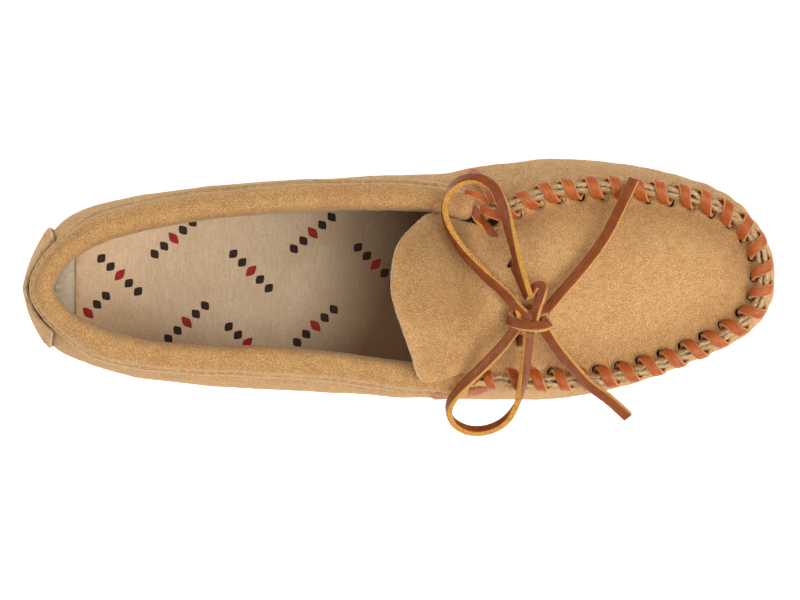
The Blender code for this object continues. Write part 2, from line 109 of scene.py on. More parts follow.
# ---------------------------------------------------------------- numbers and small helpers


def catmull(table, place, closed=False):
    """Points at fractional row numbers of a table, on a Catmull-Rom curve through its rows."""
    table = np.asarray(table, float)
    count = len(table)
    place = np.atleast_1d(np.asarray(place, float))
    base = np.floor(place).astype(int)
    if not closed:
        base = np.clip(base, 0, count - 2)
    part = (place - base)[:, None]
    rows = []
    for step in (-1, 0, 1, 2):
        index = (base + step) % count if closed else np.clip(base + step, 0, count - 1)
        rows.append(table[index])
    a, b, c, d = rows
    return 0.5 * (2 * b + (c - a) * part + (2 * a - 5 * b + 4 * c - d) * part ** 2
                  + (3 * b - a - 3 * c + d) * part ** 3)


def curve(table, per_span):
    spans = len(table) - 1
    return catmull(table, np.linspace(0.0, spans, spans * per_span + 1))


def unit(vectors):
    return vectors / np.maximum(np.linalg.norm(vectors, axis=-1, keepdims=True), 1e-9)


def smooth_step(low, high, value):
    share = np.clip((value - low) / (high - low), 0.0, 1.0)
    return share * share * (3.0 - 2.0 * share)


def lattice(ix, iy, iz, seed):
    """A repeatable number from -1 to 1 for each whole-number place."""
    mixed = ix * 374761393 + iy * 668265263 + iz * 2147483647 + seed * 1274126177
    mixed = (mixed ^ (mixed >> 13)) * 1274126177
    mixed = (mixed ^ (mixed >> 16)) & 0xFFFFFF
    return mixed / float(0x7FFFFF) - 1.0


def noise(points, size, seed):
    """Smooth value noise from -1 to 1, with bumps about size millimetres across."""
    at = np.asarray(points, float) / size
    cell = np.floor(at).astype(np.int64)
    part = at - cell
    part = part * part * (3.0 - 2.0 * part)
    total = 0.0
    for corner in np.ndindex(2, 2, 2):
        weight = np.abs(1 - np.array(corner) - part).prod(1)
        total = total + weight * lattice(*(cell + corner).T, seed)
    return total


def line_noise(values, size, seed):
    """Noise along a line of distances."""
    values = np.asarray(values, float)
    return noise(np.stack([values, values * 0.0 + 0.37, values * 0.0 + 0.71], 1), size, seed)


def hump(value, middle, width):
    """A smooth hump, 1 at its middle."""
    return np.exp(-((value - middle) / width) ** 2)


def run_lengths(points):
    """Distances along a line of points from its first."""
    return np.concatenate([[0.0], np.cumsum(np.linalg.norm(np.diff(points, axis=0), axis=1))])


def gaps(points, others):
    """Distances from every point to every other."""
    return np.sqrt(((points[:, None] - others[None]) ** 2).sum(2))


def grid_faces(rows, columns, closed=False):
    row = np.arange(rows - 1)[:, None]
    column = np.arange(columns if closed else columns - 1)[None, :]
    after = (column + 1) % columns
    low, high = row * columns, (row + 1) * columns
    faces = np.stack(np.broadcast_arrays(low + column, high + column, high + after, low + after), -1)
    return faces.reshape(-1, 4)


def capped_tube(rings, around, turned=False):
    """A tube's faces and its two end faces; turned has the sides look the other way."""
    sides = grid_faces(rings, around, True)
    sides = (sides[:, [0, 3, 2, 1]] if turned else sides).tolist()
    return sides + [range(around), range(rings * around - 1, (rings - 1) * around - 1, -1)]


def corner_table(faces):
    """Faces as one table of four corners; a triangle repeats its last corner."""
    made = [np.asarray(f, int) for f in faces if len(f)]
    made = [np.hstack([f, f[:, 2:3]]) if f.shape[1] == 3 else f for f in made]
    return np.vstack(made)


def vertex_normals(points, faces):
    a, b, c, d = (points[faces[:, i]] for i in range(4))
    face_normals = np.cross(c - a, d - b)
    flat = faces[:, 2] == faces[:, 3]
    face_normals[flat] = np.cross(b[flat] - a[flat], c[flat] - a[flat])
    normals = np.zeros_like(points)
    for i in range(4):
        np.add.at(normals, faces[:, i], face_normals)
    return unit(normals)


def open_edges(faces):
    """Directed edges that only one face uses, in that face's own direction."""
    starts, ends = faces.T.ravel(), np.roll(faces, -1, 1).T.ravel()
    real = starts != ends
    starts, ends = starts[real], ends[real]
    top = int(faces.max()) + 1
    alone = ~np.isin(starts * top + ends, ends * top + starts)
    return starts[alone], ends[alone]


OUTER, INNER, RAW = 0, 1, 2        # a shell's material slots


def shell(points, faces, thick, rough, seed, shade=None):
    """A sheet of the given thickness behind a surface, with a roughened, rounded raw edge.

    Returns points, faces, face slots and the shade of each point; unused points are dropped.
    """
    normals = vertex_normals(points, faces)
    count = len(points)
    thick = np.broadcast_to(np.asarray(thick, float), (count,))
    shade = np.zeros(count) if shade is None else shade
    inner = points - normals * thick[:, None]
    starts, ends = open_edges(faces)
    rim = np.unique(np.concatenate([starts, ends]))
    along = np.zeros((count, 3))
    np.add.at(along, starts, points[ends] - points[starts])
    np.add.at(along, ends, points[ends] - points[starts])
    out = unit(np.cross(along[rim], normals[rim]))
    waver = noise(points[rim], 1.1, seed) + 0.8 * noise(points[rim], 4.0, seed + 7)
    middle = (points[rim] + inner[rim]) / 2
    middle = middle + out * (0.30 * thick[rim] + rough * waver)[:, None]
    middle = middle + normals[rim] * rough * noise(points[rim], 0.9, seed + 3)[:, None]
    lookup = np.full(count, -1)
    lookup[rim] = np.arange(len(rim)) + 2 * count
    upper = np.stack([ends, starts, lookup[starts], lookup[ends]], 1)
    lower = np.stack([lookup[ends], lookup[starts], starts + count, ends + count], 1)
    flipped = faces[:, ::-1] + count
    flat = faces[:, 2] == faces[:, 3]
    flipped[flat] = faces[flat][:, [2, 1, 0, 0]] + count
    slots = np.repeat([OUTER, INNER, RAW], [len(faces), len(faces), 2 * len(upper)])
    points = np.vstack([points, inner, middle])
    faces = np.vstack([faces, flipped, upper, lower])
    shade = np.concatenate([shade, shade, shade[rim]])
    used = np.unique(faces)
    lookup = np.full(len(points), -1)
    lookup[used] = np.arange(len(used))
    return points[used], lookup[faces], slots, shade[used]


def fibres(roots, leans, count, length, spread, seed):
    """Loose fibres, each a tapered three-sided wisp, standing on a raw edge."""
    number = np.arange(count)

    def pick(axis):
        return lattice(number, axis, 4, seed)

    def pick_three(*axes):
        return np.stack([pick(axis) for axis in axes], 1)

    leans = np.broadcast_to(leans, roots.shape)
    place = (0.5 + 0.5 * pick(1)) * (len(roots) - 1.001)
    base = np.floor(place).astype(int)
    part = (place - base)[:, None]
    root = roots[base] * (1 - part) + roots[base + 1] * part
    lean = unit(leans[base] + pick_three(2, 3, 5) * spread)
    curl = pick_three(6, 7, 8) * 0.55
    reach = (length * (0.55 + 0.45 * pick(9)))[:, None]
    root = root + pick_three(10, 11, 12) * 0.55
    side = unit(np.cross(lean, pick_three(13, 14, 15) + (0.0, 0.0, 1.4)))
    other = np.cross(lean, side)
    fat = 0.10 + 0.03 * pick(16)[:, None]
    rings = []
    for along, slim in ((-0.3, 1.0), (0.5, 0.8), (1.0, 0.35)):
        centre = root + lean * reach * along + curl * reach * along ** 2
        for turn in (0.0, 2.094, 4.189):
            rings.append(centre + (side * math.cos(turn) + other * math.sin(turn)) * fat * slim)
    points = np.stack(rings, 1).reshape(-1, 3)
    corners = ((0, 1, 4, 3), (1, 2, 5, 4), (2, 0, 3, 5), (3, 4, 7, 6), (4, 5, 8, 7), (5, 3, 6, 8),
               (0, 2, 1, 1), (6, 7, 8, 8))
    return points, np.vstack([number[:, None] * 9 + np.array(row) for row in corners])


def make_mesh(name, points, faces, materials, slots=None, attributes=None, sharp=60.0):
    """A mesh object from millimetre points; a table of faces repeats a triangle's last corner."""
    if not isinstance(faces, list):
        faces = [row[:3] if row[2] == row[3] else row for row in np.asarray(faces).tolist()]
    mesh = bpy.data.meshes.new(name)
    mesh.from_pydata((np.asarray(points) * MM).tolist(), [], faces)
    for item in materials:
        mesh.materials.append(item)
    if slots is not None:
        mesh.polygons.foreach_set("material_index", np.asarray(slots, np.int32))
    for key, values in (attributes or {}).items():
        scalar = np.ndim(values) == 1
        made = mesh.attributes.new(key, "FLOAT" if scalar else "FLOAT_VECTOR", "POINT")
        made.data.foreach_set("value" if scalar else "vector", np.asarray(values, np.float32).ravel())
    mesh.shade_smooth()
    mesh.set_sharp_from_angle(angle=math.radians(sharp))
    mesh.validate()
    made = bpy.data.objects.new(name, mesh)
    bpy.context.scene.collection.objects.link(made)
    return made


def make_sheet(name, surface, thick, rough, seed, materials, shade=None, tufts=(), raw_faces=0):
    """A shell as an object, with loose fibres on its edges; its first raw_faces look raw as well."""
    points, faces, slots, shade = shell(*surface, thick, rough, seed, shade)
    slots[:raw_faces] = RAW
    for more, more_faces in tufts:
        faces = np.vstack([faces, more_faces + len(points)])
        points = np.vstack([points, more])
        slots = np.concatenate([slots, np.full(len(more_faces), RAW)])
        shade = np.concatenate([shade, np.zeros(len(more))])
    return make_mesh(name, points, faces, materials, slots, {"shade": shade})


# ---------------------------------------------------------------- materials


def srgb(red, green, blue):
    """Linear colour from a display colour of 0 to 255."""
    values = []
    for channel in (red, green, blue):
        share = channel / 255.0
        values.append(share / 12.92 if share <= 0.04045 else ((share + 0.055) / 1.055) ** 2.4)
    return (*values, 1.0)


def toned(first, second, share):
    return tuple(a + (b - a) * share for a, b in zip(first, second))


class Finish:
    """One procedural material, built node by node; sizes and depths are in millimetres.

    It is laid out in the object's own space, or along an attribute in millimetres.
    """

    def __init__(self, name, roughness, lay=None, **sockets):
        self.material = bpy.data.materials.new(name)
        self.material.use_nodes = True
        self.tree = self.material.node_tree
        self.shader = self.tree.nodes["Principled BSDF"]
        self.shader.inputs["Roughness"].default_value = roughness
        for key, value in sockets.items():
            self.shader.inputs[key.replace("_", " ")].default_value = value
        self.unit = 1.0 if lay else MM
        if lay:
            self.place = self.attribute(lay, "Vector")
        else:
            self.place = self.add("ShaderNodeTexCoord").outputs["Object"]

    def add(self, kind, inputs=None, **settings):
        """A node with its settings; each input is a value or another node's socket."""
        node = self.tree.nodes.new(kind)
        for key, value in settings.items():
            setattr(node, key, value)
        for key, value in (inputs or {}).items():
            if isinstance(value, bpy.types.NodeSocket):
                self.tree.links.new(value, node.inputs[key])
            else:
                node.inputs[key].default_value = value
        return node

    def attribute(self, name, output):
        return self.add("ShaderNodeAttribute", attribute_name=name).outputs[output]

    def stretched(self, x, y, z):
        return self.add("ShaderNodeMapping", {"Vector": self.place, "Scale": (x, y, z)}).outputs["Vector"]

    def noise(self, size, detail, rough, warp=0.0, place=None):
        inputs = {"Vector": place or self.place, "Scale": 1.0 / (size * self.unit), "Detail": detail,
                  "Roughness": rough, "Distortion": warp}
        return self.add("ShaderNodeTexNoise", inputs).outputs["Fac"]

    def cells(self, size, place):
        inputs = {"Vector": place, "Scale": 1.0 / (size * self.unit)}
        return self.add("ShaderNodeTexVoronoi", inputs, feature="F1").outputs["Distance"]

    def ramp(self, factor, low, high):
        """A value that runs between two stops, each a factor and the value there."""
        node = self.add("ShaderNodeValToRGB", {"Fac": factor})
        for element, (position, value) in zip(node.color_ramp.elements, (low, high)):
            element.position = position
            element.color = (value, value, value, 1.0)
        return node.outputs["Color"]

    def mix(self, factor, first, second):
        return self.add("ShaderNodeMix", {0: factor, 6: first, 7: second}, data_type="RGBA").outputs[2]

    def over(self, tone, other, mask, low, high):
        """A tone with another laid over it, by a mask between two stops."""
        return self.mix(self.ramp(mask, low, high), tone, other)

    def math(self, operation, first, second):
        return self.add("ShaderNodeMath", {0: first, 1: second}, operation=operation).outputs[0]

    def finish(self, tone, *reliefs):
        """Set the colour and the bumps, each a height, a depth and a strength; returns the material."""
        self.tree.links.new(tone, self.shader.inputs["Base Color"])
        target = self.shader.inputs["Normal"]
        for height, depth, strength in reversed(reliefs):
            inputs = {"Height": height, "Distance": depth * MM, "Strength": strength}
            node = self.add("ShaderNodeBump", inputs)
            self.tree.links.new(node.outputs["Normal"], target)
            target = node.inputs["Normal"]
        return self.material


def suede(name, base, light, dark, grain=0.50, depth=0.42, sheen=0.35):
    """Brushed suede: a short nap with bright tips and dark pits, clouded by how the nap lies."""
    made = Finish(name, 0.92, Sheen_Weight=sheen, Sheen_Roughness=0.45,
                  Sheen_Tint=(1.0, 0.86, 0.66, 1.0), Specular_IOR_Level=0.25)
    clouds = made.noise(16.0, 3.0, 0.5, 0.6)
    patches = made.noise(3.6, 3.0, 0.6, 0.4)
    nap = made.noise(grain, 2.5, 0.7)
    tips = made.noise(grain * 0.55, 1.0, 0.5)
    tip_tone = toned(light, (1.0, 0.9, 0.7, 1.0), 0.35)
    deep_tone = toned(dark, (0.0, 0.0, 0.0, 1.0), 0.72)
    tone = made.over(base, toned(base, light, 0.30), clouds, (0.30, 0.0), (0.70, 1.0))
    tone = made.over(tone, toned(base, dark, 0.35), patches, (0.38, 0.0), (0.64, 0.55))
    tone = made.over(tone, dark, nap, (0.26, 0.95), (0.45, 0.0))
    tone = made.over(tone, light, nap, (0.53, 0.0), (0.70, 0.95))
    tone = made.over(tone, tip_tone, tips, (0.57, 0.0), (0.68, 1.0))
    # Painted shade: the point attribute 'shade' darkens the nap towards a deep tone where the pieces lie in
    # shade.
    tone = made.mix(made.math("MULTIPLY", made.attribute("shade", "Fac"), 0.85), tone, deep_tone)
    return made.finish(tone, (patches, 0.35, 0.35), (nap, depth, 0.75))


def raw_edge(name, base, light, dark):
    """A raw cut suede edge: torn pale fibres in layers with dark gaps."""
    made = Finish(name, 0.95, Sheen_Weight=0.3, Sheen_Roughness=0.5, Specular_IOR_Level=0.2)
    strands = made.noise(0.42, 3.0, 0.7, 1.2)
    lumps = made.noise(1.3, 3.0, 0.6, 0.5)
    tone = made.over(base, light, lumps, (0.36, 0.0), (0.62, 1.0))
    tone = made.over(tone, dark, strands, (0.34, 1.0), (0.48, 0.0))
    return made.finish(tone, (lumps, 0.6, 0.8), (strands, 0.5, 0.9))


def lace_face(name, base, light, dark, roughness=0.42):
    """The dyed grain side of a leather lace, laid out along the lace."""
    made = Finish(name, roughness, "lay", Specular_IOR_Level=0.38, Coat_Weight=0.03, Coat_Roughness=0.45)
    streaks = made.noise(0.8, 2.0, 0.5, 0.3, made.stretched(0.25, 1.0, 1.0))
    clouds = made.noise(5.0, 2.0, 0.5, 0.5)
    grain = made.cells(0.32, made.stretched(0.6, 1.0, 1.0))
    tone = made.over(base, toned(base, light, 0.6), clouds, (0.34, 0.0), (0.68, 1.0))
    tone = made.over(tone, dark, streaks, (0.32, 0.45), (0.52, 0.0))
    made.tree.links.new(made.ramp(streaks, (0.3, roughness + 0.14), (0.7, roughness - 0.06)),
                        made.shader.inputs["Roughness"])
    return made.finish(tone, (grain, 0.05, 0.5), (streaks, 0.06, 0.5))


def lace_edge(name, base, light, dark):
    """The cut edge of a lace: undyed golden fibres with small dark pits."""
    made = Finish(name, 0.85, "lay", Sheen_Weight=0.2, Sheen_Roughness=0.5, Specular_IOR_Level=0.25)
    strands = made.noise(0.5, 3.0, 0.7, 0.8, made.stretched(0.55, 1.0, 1.0))
    pits = made.noise(0.75, 2.0, 0.6, 0.4)
    tone = made.over(base, light, strands, (0.36, 0.0), (0.62, 1.0))
    tone = made.over(tone, dark, pits, (0.30, 0.9), (0.42, 0.0))
    return made.finish(tone, (pits, 0.25, 0.8), (strands, 0.22, 0.9))


def fabric(name, base, light, dark, thread, depth, painted_shadow_tone=None):
    """A fine woven lining; a painted shadow tone deepens it towards the toe and the lateral side, where the
    tongue and the walls shade it.
    """
    made = Finish(name, 0.9, Sheen_Weight=0.25, Sheen_Roughness=0.4, Specular_IOR_Level=0.25)
    weave = made.noise(thread, 2.0, 0.5, 0.0, made.stretched(1.0, 0.10, 0.4))
    clouds = made.noise(14.0, 3.0, 0.5, 0.6)
    slubs = made.noise(1.1, 3.0, 0.6, 0.3)
    tone = made.over(base, light, clouds, (0.34, 0.0), (0.68, 1.0))
    tone = made.over(tone, dark, weave, (0.30, 0.35), (0.55, 0.0))
    tone = made.over(tone, dark, slubs, (0.34, 0.35), (0.5, 0.0))
    # Painted shadow: the cloth darkens towards the toe and the lateral side, where the tongue and the walls
    # shade it.
    if painted_shadow_tone is not None:
        place = made.add("ShaderNodeSeparateXYZ", {0: made.place}).outputs
        toward = made.math("ADD", made.math("MULTIPLY", place[0], 30.0), 1.05)
        toward = made.math("ADD", toward, made.math("MULTIPLY", place[1], -14.0))
        tone = made.over(tone, painted_shadow_tone, toward, (0.0, 0.0), (1.0, 0.90))
    return made.finish(tone, (weave, depth, 0.6), (slubs, 0.12, 0.4))


def plain(name, base, second, size, roughness, depth):
    """A simple mottled finish for thread, foam, fibre board and ink."""
    made = Finish(name, roughness, Specular_IOR_Level=0.3)
    spots = made.noise(size, 3.0, 0.6, 0.3)
    return made.finish(made.over(base, second, spots, (0.35, 0.0), (0.65, 1.0)), (spots, depth, 0.6))


SUEDE_PLUG = suede("suede_plug", srgb(207, 151, 89), srgb(248, 202, 136), srgb(142, 88, 42))
SUEDE_WALL = suede("suede_wall", srgb(196, 143, 84), srgb(236, 190, 128), srgb(140, 90, 44), 0.60, 0.42, 0.14)
SUEDE_COLLAR = suede("suede_collar", srgb(194, 139, 79), srgb(236, 190, 122), srgb(134, 84, 38))
SUEDE_INSIDE = suede("suede_inside", srgb(196, 150, 104), srgb(226, 186, 140), srgb(146, 102, 62), 0.8, 0.5)
RAW_EDGE = raw_edge("suede_raw_edge", srgb(238, 190, 126), srgb(255, 232, 182), srgb(150, 96, 46))
PALE_EDGE = raw_edge("suede_pale_edge", srgb(224, 184, 134), srgb(246, 218, 174), srgb(150, 106, 62))
ORANGE_FACE = lace_face("orange_lace_face", srgb(184, 88, 34), srgb(212, 116, 56), srgb(146, 62, 20))
ORANGE_EDGE = lace_edge("orange_lace_edge", srgb(206, 132, 58), srgb(246, 190, 106), srgb(130, 66, 24))
BROWN_FACE = lace_face("tie_lace_face", srgb(138, 68, 26), srgb(168, 90, 42), srgb(98, 42, 14))
GOLD_EDGE = lace_edge("tie_lace_edge", srgb(204, 134, 46), srgb(238, 178, 84), srgb(110, 58, 18))
LINING = fabric("heel_lining_cloth", srgb(252, 226, 192), srgb(255, 238, 212), srgb(226, 192, 154), 0.6, 0.06)
# The insole's last colour is painted shadow, deepening towards the toe and the lateral side.
INSOLE = fabric("insole_cloth", srgb(224, 199, 164), srgb(234, 211, 179), srgb(194, 165, 130), 0.45, 0.05,
                srgb(128, 90, 58))
FOAM = plain("insole_foam_cells", srgb(226, 220, 202), srgb(206, 198, 176), 0.8, 0.9, 0.3)
FIBRE = plain("heel_fibre_board", srgb(176, 152, 124), srgb(146, 122, 96), 1.2, 0.9, 0.2)
THREAD = plain("sewing_thread", srgb(206, 164, 112), srgb(178, 136, 86), 0.4, 0.7, 0.1)
DARK_INK = plain("dark_ink", srgb(40, 26, 20), srgb(60, 42, 32), 0.7, 0.7, 0.05)
RED_INK = plain("red_ink", srgb(178, 44, 38), srgb(150, 32, 28), 0.7, 0.7, 0.05)

FLOOR_HALF, FLOOR_DROP = 6000.0, 0.05


def make_floor():
    made = Finish("pale_floor", 0.9, Specular_IOR_Level=0.1, Emission_Color=WHITE, Emission_Strength=0.75)
    tone = made.mix(made.noise(400.0, 2.0, 0.5), (0.90, 0.90, 0.90, 1.0), (0.93, 0.93, 0.93, 1.0))
    corners = [(x * FLOOR_HALF, y * FLOOR_HALF, -FLOOR_DROP) for x, y in ((-1, -1), (1, -1), (1, 1), (-1, 1))]
    make_mesh("floor", corners, [(0, 1, 2, 3)], [made.finish(tone)])


make_floor()

# ---------------------------------------------------------------- the shoe's lines, as in the CAD

GAP = 0.3
BOTTOM_THICK = 2.0
PLUG_THICK = 1.8
COLLAR_THICK = 1.5
TAB_THICK = 2.2
HEEL_GAP = 0.8
COUNTER_THICK = 1.0
LINING_THICK = 1.0
WIDEST_HEIGHT = 16.0
SOLE_INSET = 7.0
WALL_LEAN = 1.6
SEAM_RIDGE = 5.0
STITCHES = 27
OVER_SHARE = 0.6
LACE_START = 0.35
SEAM_END = 14.0
LATERAL_COLLAR_END = 14.33
MEDIAL_COLLAR_END = 29.68
HEEL_STATION = 22.0

# Stations clockwise from the medial end of the toe seam: widest x, y; top x, y, z.
STATIONS = np.array([
    (31.0, 43.3, 34.15, 25.6, 51.0),
    (55.0, 45.7, 54.5, 33.2, 47.5),
    (78.0, 45.1, 75.0, 35.5, 43.0),
    (100.0, 41.4, 95.0, 34.2, 38.5),
    (119.0, 35.6, 112.0, 31.4, 35.0),
    (132.0, 27.4, 126.0, 25.0, 32.5),
    (139.8, 15.0, 135.3, 14.8, 31.3),
    (142.5, 1.0, 138.2, 2.0, 31.0),
    (140.6, -9.5, 136.0, -9.5, 31.2),
    (134.0, -18.8, 129.0, -17.2, 32.2),
    (121.0, -26.9, 116.0, -25.0, 34.3),
    (101.5, -35.0, 98.0, -32.2, 38.0),
    (80.0, -41.2, 78.0, -37.2, 42.3),
    (57.0, -44.8, 56.0, -38.4, 47.2),
    (32.0, -45.5, 34.15, -38.0, 51.0),
    (9.0, -44.7, 10.0, -36.0, 50.5),
    (-18.0, -43.1, -17.0, -32.3, 49.5),
    (-45.0, -41.7, -45.0, -29.6, 49.0),
    (-75.0, -40.1, -75.0, -28.6, 50.5),
    (-101.0, -36.6, -100.0, -26.0, 53.0),
    (-121.0, -30.6, -117.0, -20.8, 55.5),
    (-133.0, -22.5, -129.0, -13.0, 57.0),
    (-140.2, -3.0, -134.5, -3.0, 57.5),
    (-133.0, 16.5, -128.5, 8.5, 57.0),
    (-121.0, 26.6, -116.0, 17.0, 55.5),
    (-101.0, 31.8, -100.0, 22.2, 53.0),
    (-75.0, 35.3, -75.0, 26.8, 50.5),
    (-45.0, 37.8, -45.0, 29.6, 49.0),
    (-15.0, 39.3, -15.0, 30.8, 49.5),
    (12.0, 40.2, 12.0, 29.8, 50.5),
])


def widest(place):
    row = catmull(STATIONS, place, True)
    return np.stack([row[:, 0], row[:, 1], np.full(len(row), WIDEST_HEIGHT)], 1)


def top_line(place):
    return catmull(STATIONS, place, True)[:, 2:5]


def outward(line, place):
    along = line(np.asarray(place) + 0.02) - line(np.asarray(place) - 0.02)
    return unit(np.stack([-along[:, 1], along[:, 0], along[:, 0] * 0.0], 1))


def wall(place, height):
    """Points on the outer face of the shoe's wall at heights."""
    wide, top = widest(place), top_line(place)
    flange = top + outward(top_line, place) * (GAP / 2 + BOTTOM_THICK)
    drop = np.arcsin(np.clip(1.0 - height / WIDEST_HEIGHT, 0.0, 1.0))
    low = wide - outward(widest, place) * (SOLE_INSET * (1.0 - np.cos(drop)))[:, None]
    share = np.clip((height - WIDEST_HEIGHT) / (top[:, 2] - SEAM_RIDGE - WIDEST_HEIGHT), 0.0, 1.0)
    high = wide + (flange - wide) * (share ** WALL_LEAN)[:, None]
    spot = np.where((height <= WIDEST_HEIGHT)[:, None], low, high)
    spot[:, 2] = height
    return spot


def wall_normal(place, height):
    up = wall(place, height + 0.5) - wall(place, np.maximum(height - 0.5, 0.0))
    along = wall(place + 0.02, height) - wall(place - 0.02, height)
    return unit(np.cross(up, along))


def behind_wall(place, height, depth):
    return wall(place, height) - wall_normal(place, height) * np.asarray(depth)[..., None]


SEAM_PLACES = np.linspace(0.0, SEAM_END, 561)
SEAM_LENGTHS = run_lengths(top_line(SEAM_PLACES))
SEAM_LENGTH = SEAM_LENGTHS[-1]
PITCH = SEAM_LENGTH / (STITCHES + 0.75)


def seam_place(distance):
    """Station at a distance along the toe seam, carried on evenly past its two ends."""
    distance = np.asarray(distance, float)
    inside = np.interp(distance, SEAM_LENGTHS, SEAM_PLACES)
    per_mm = SEAM_PLACES[1] / SEAM_LENGTHS[1]
    return inside + np.minimum(distance, 0.0) * per_mm + np.maximum(distance - SEAM_LENGTH, 0.0) * per_mm


def stitch_part(distance, phase):
    """How far, in pitches, a distance lies from the nearest stitch's point of that phase, and which."""
    turns = np.asarray(distance) / PITCH - phase
    nearest = np.round(turns)
    return turns - nearest, nearest


def inside_seam(distance):
    return smooth_step(-2.0, 4.0, distance) * smooth_step(-2.0, 4.0, SEAM_LENGTH - distance)


# ---------------------------------------------------------------- flat laces


def lace_section():
    """Half-width and half-thickness shares round a flat lace with softened corners."""
    top = [(-0.90, 0.96), (-0.45, 1.04), (0.0, 1.06), (0.45, 1.04), (0.90, 0.96)]
    side = [(1.0, 0.72), (1.03, 0.0), (1.0, -0.72)]
    bottom = [(-x, -y) for x, y in top]
    return np.array(top + side + bottom + [(-x, -y) for x, y in side])


SECTION = lace_section()
SECTION_SLOTS = [0] * 4 + [1] * 4 + [0] * 4 + [1] * 4       # 0 grain or flesh side, 1 cut edge


def ribbon(centres, normals, width, thick, seed, rough=0.05):
    """A flat lace along its centres, with its grain side facing the normals."""
    count, around = len(centres), len(SECTION)
    along = unit(np.gradient(centres, axis=0))
    normals = unit(normals - along * (normals * along).sum(1, keepdims=True))
    sides = np.cross(along, normals)
    across, through = (SECTION[:, axis] * np.broadcast_to(size, (count,))[:, None] / 2
                       for axis, size in ((0, width), (1, thick)))
    points = (centres[:, None] + sides[:, None] * across[..., None] + normals[:, None] * through[..., None])
    points = points.reshape(-1, 3)
    edge = np.tile(np.abs(SECTION[:, 0]) > 0.95, count)
    push = np.repeat(sides, around, 0) * np.tile(np.sign(SECTION[:, 0]), count)[:, None]
    waver = noise(points, 0.8, seed) + noise(points, 2.5, seed + 1)
    points = points + push * (edge * rough * waver)[:, None]
    faces = capped_tube(count, around, True)
    rim = run_lengths(SECTION * (2.0, 1.0))
    lay = np.stack([np.repeat(run_lengths(centres), around), np.tile(rim, count),
                    np.full(count * around, seed * 3.7)], 1)
    return points, faces, SECTION_SLOTS * (count - 1) + [1, 1], lay


def routed(table, per_span):
    """Centres and grain directions on smooth curves through rows of x, y, z and a direction."""
    rows = curve(np.asarray(table, float), per_span)
    return rows[:, :3], unit(rows[:, 3:6])


def lace_object(name, parts, face_material, edge_material):
    """One lace object from parts of points, faces, slots and lay."""
    faces, count = [], 0
    for part in parts:
        faces += [[corner + count for corner in face] for face in part[1]]
        count += len(part[0])
    points, slots, lay = (np.concatenate([part[i] for part in parts]) for i in (0, 2, 3))
    return make_mesh(name, points, faces, [face_material, edge_material], slots, {"lay": lay}, 50.0)


TIE_WIDTH = 4.0
TIE_THICK = 2.2
KNOT = np.array([49.3, -14.6, 63.4])

# The bow's free laces: x, y, z of the middle, then the way its grain side faces.
MEDIAL_LOOP = [
    (44.6, -10.6, 66.9, -0.26, -0.34, 0.90), (39.4, -4.6, 66.6, -0.28, -0.36, 0.88),
    (30.6, 3.6, 65.2, -0.44, -0.48, 0.76), (22.6, 12.6, 64.6, -0.72, -0.38, 0.55),
    (17.6, 22.0, 63.0, -0.97, -0.10, 0.20), (17.4, 30.0, 60.2, -0.97, 0.20, 0.14),
    (21.6, 36.2, 57.8, -0.46, 0.66, 0.58), (28.0, 38.2, 56.6, 0.05, 0.62, 0.78),
    (34.6, 35.6, 56.8, 0.16, 0.20, 0.96), (39.0, 28.0, 58.2, -0.22, -0.08, 0.96),
    (41.8, 18.0, 60.8, -0.66, -0.16, 0.72), (44.6, 7.0, 64.2, -0.84, -0.20, 0.46),
    (47.6, -2.6, 66.8, -0.88, -0.25, 0.36), (49.0, -6.6, 68.4, -0.86, -0.30, 0.36)]
LATERAL_LOOP = [
    (44.4, -17.4, 66.3, -0.22, 0.16, 0.95), (38.6, -25.0, 64.6, -0.24, 0.18, 0.94),
    (30.4, -33.6, 62.2, -0.30, 0.24, 0.90), (23.0, -41.0, 58.6, -0.46, 0.34, 0.78),
    (18.8, -47.4, 54.2, -0.90, 0.14, 0.36), (19.8, -53.0, 50.0, -0.88, -0.40, -0.14),
    (25.6, -56.6, 47.6, -0.26, -0.76, -0.58), (33.0, -56.6, 47.2, 0.10, -0.76, -0.62),
    (39.8, -53.2, 48.8, 0.58, -0.62, -0.50), (44.2, -47.0, 51.6, 0.90, -0.38, -0.02),
    (46.4, -39.0, 55.6, 0.76, -0.14, 0.60), (47.6, -30.6, 60.2, 0.50, -0.10, 0.84),
    (48.4, -23.4, 66.4, 0.42, -0.10, 0.88), (48.6, -20.6, 68.6, 0.42, -0.20, 0.88)]
MEDIAL_TAIL = [
    (55.0, -12.0, 65.0, -0.30, 0.10, 0.94), (60.4, -5.4, 63.0, -0.18, 0.14, 0.97),
    (68.8, 4.4, 59.4, -0.16, 0.12, 0.98), (77.2, 15.6, 54.0, -0.16, 0.12, 0.98),
    (83.4, 27.4, 48.2, -0.16, 0.10, 0.98), (88.6, 38.0, 44.6, -0.16, 0.10, 0.98)]
LATERAL_TAIL = [
    (54.8, -18.8, 63.8, -0.30, -0.26, 0.90), (60.4, -27.0, 58.6, -0.34, -0.30, 0.88),
    (70.4, -38.4, 49.6, -0.34, -0.32, 0.86), (79.0, -45.0, 44.0, -0.30, -0.30, 0.88),
    (86.4, -51.6, 39.6, -0.26, -0.26, 0.90)]


def make_free_laces():
    """The bow's two loops and two tails."""
    rows = [("bow_loop_medial", MEDIAL_LOOP, "bow_loops", "object"),
            ("bow_loop_lateral", LATERAL_LOOP, "bow_loops", "object"),
            ("lace_tail_medial", MEDIAL_TAIL, "shoe", "bare"),
            ("lace_tail_lateral", LATERAL_TAIL, "shoe", "bare")]
    for seed, (name, table, body, far_end) in enumerate(rows, 3):
        centres, normals = routed(table, 9)
        strip = ribbon(centres, normals, TIE_WIDTH, TIE_THICK, seed, 0.11)
        made = lace_object(name + "_leather", [strip], BROWN_FACE, GOLD_EDGE)
        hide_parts(name)
        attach(made, body)


make_free_laces()

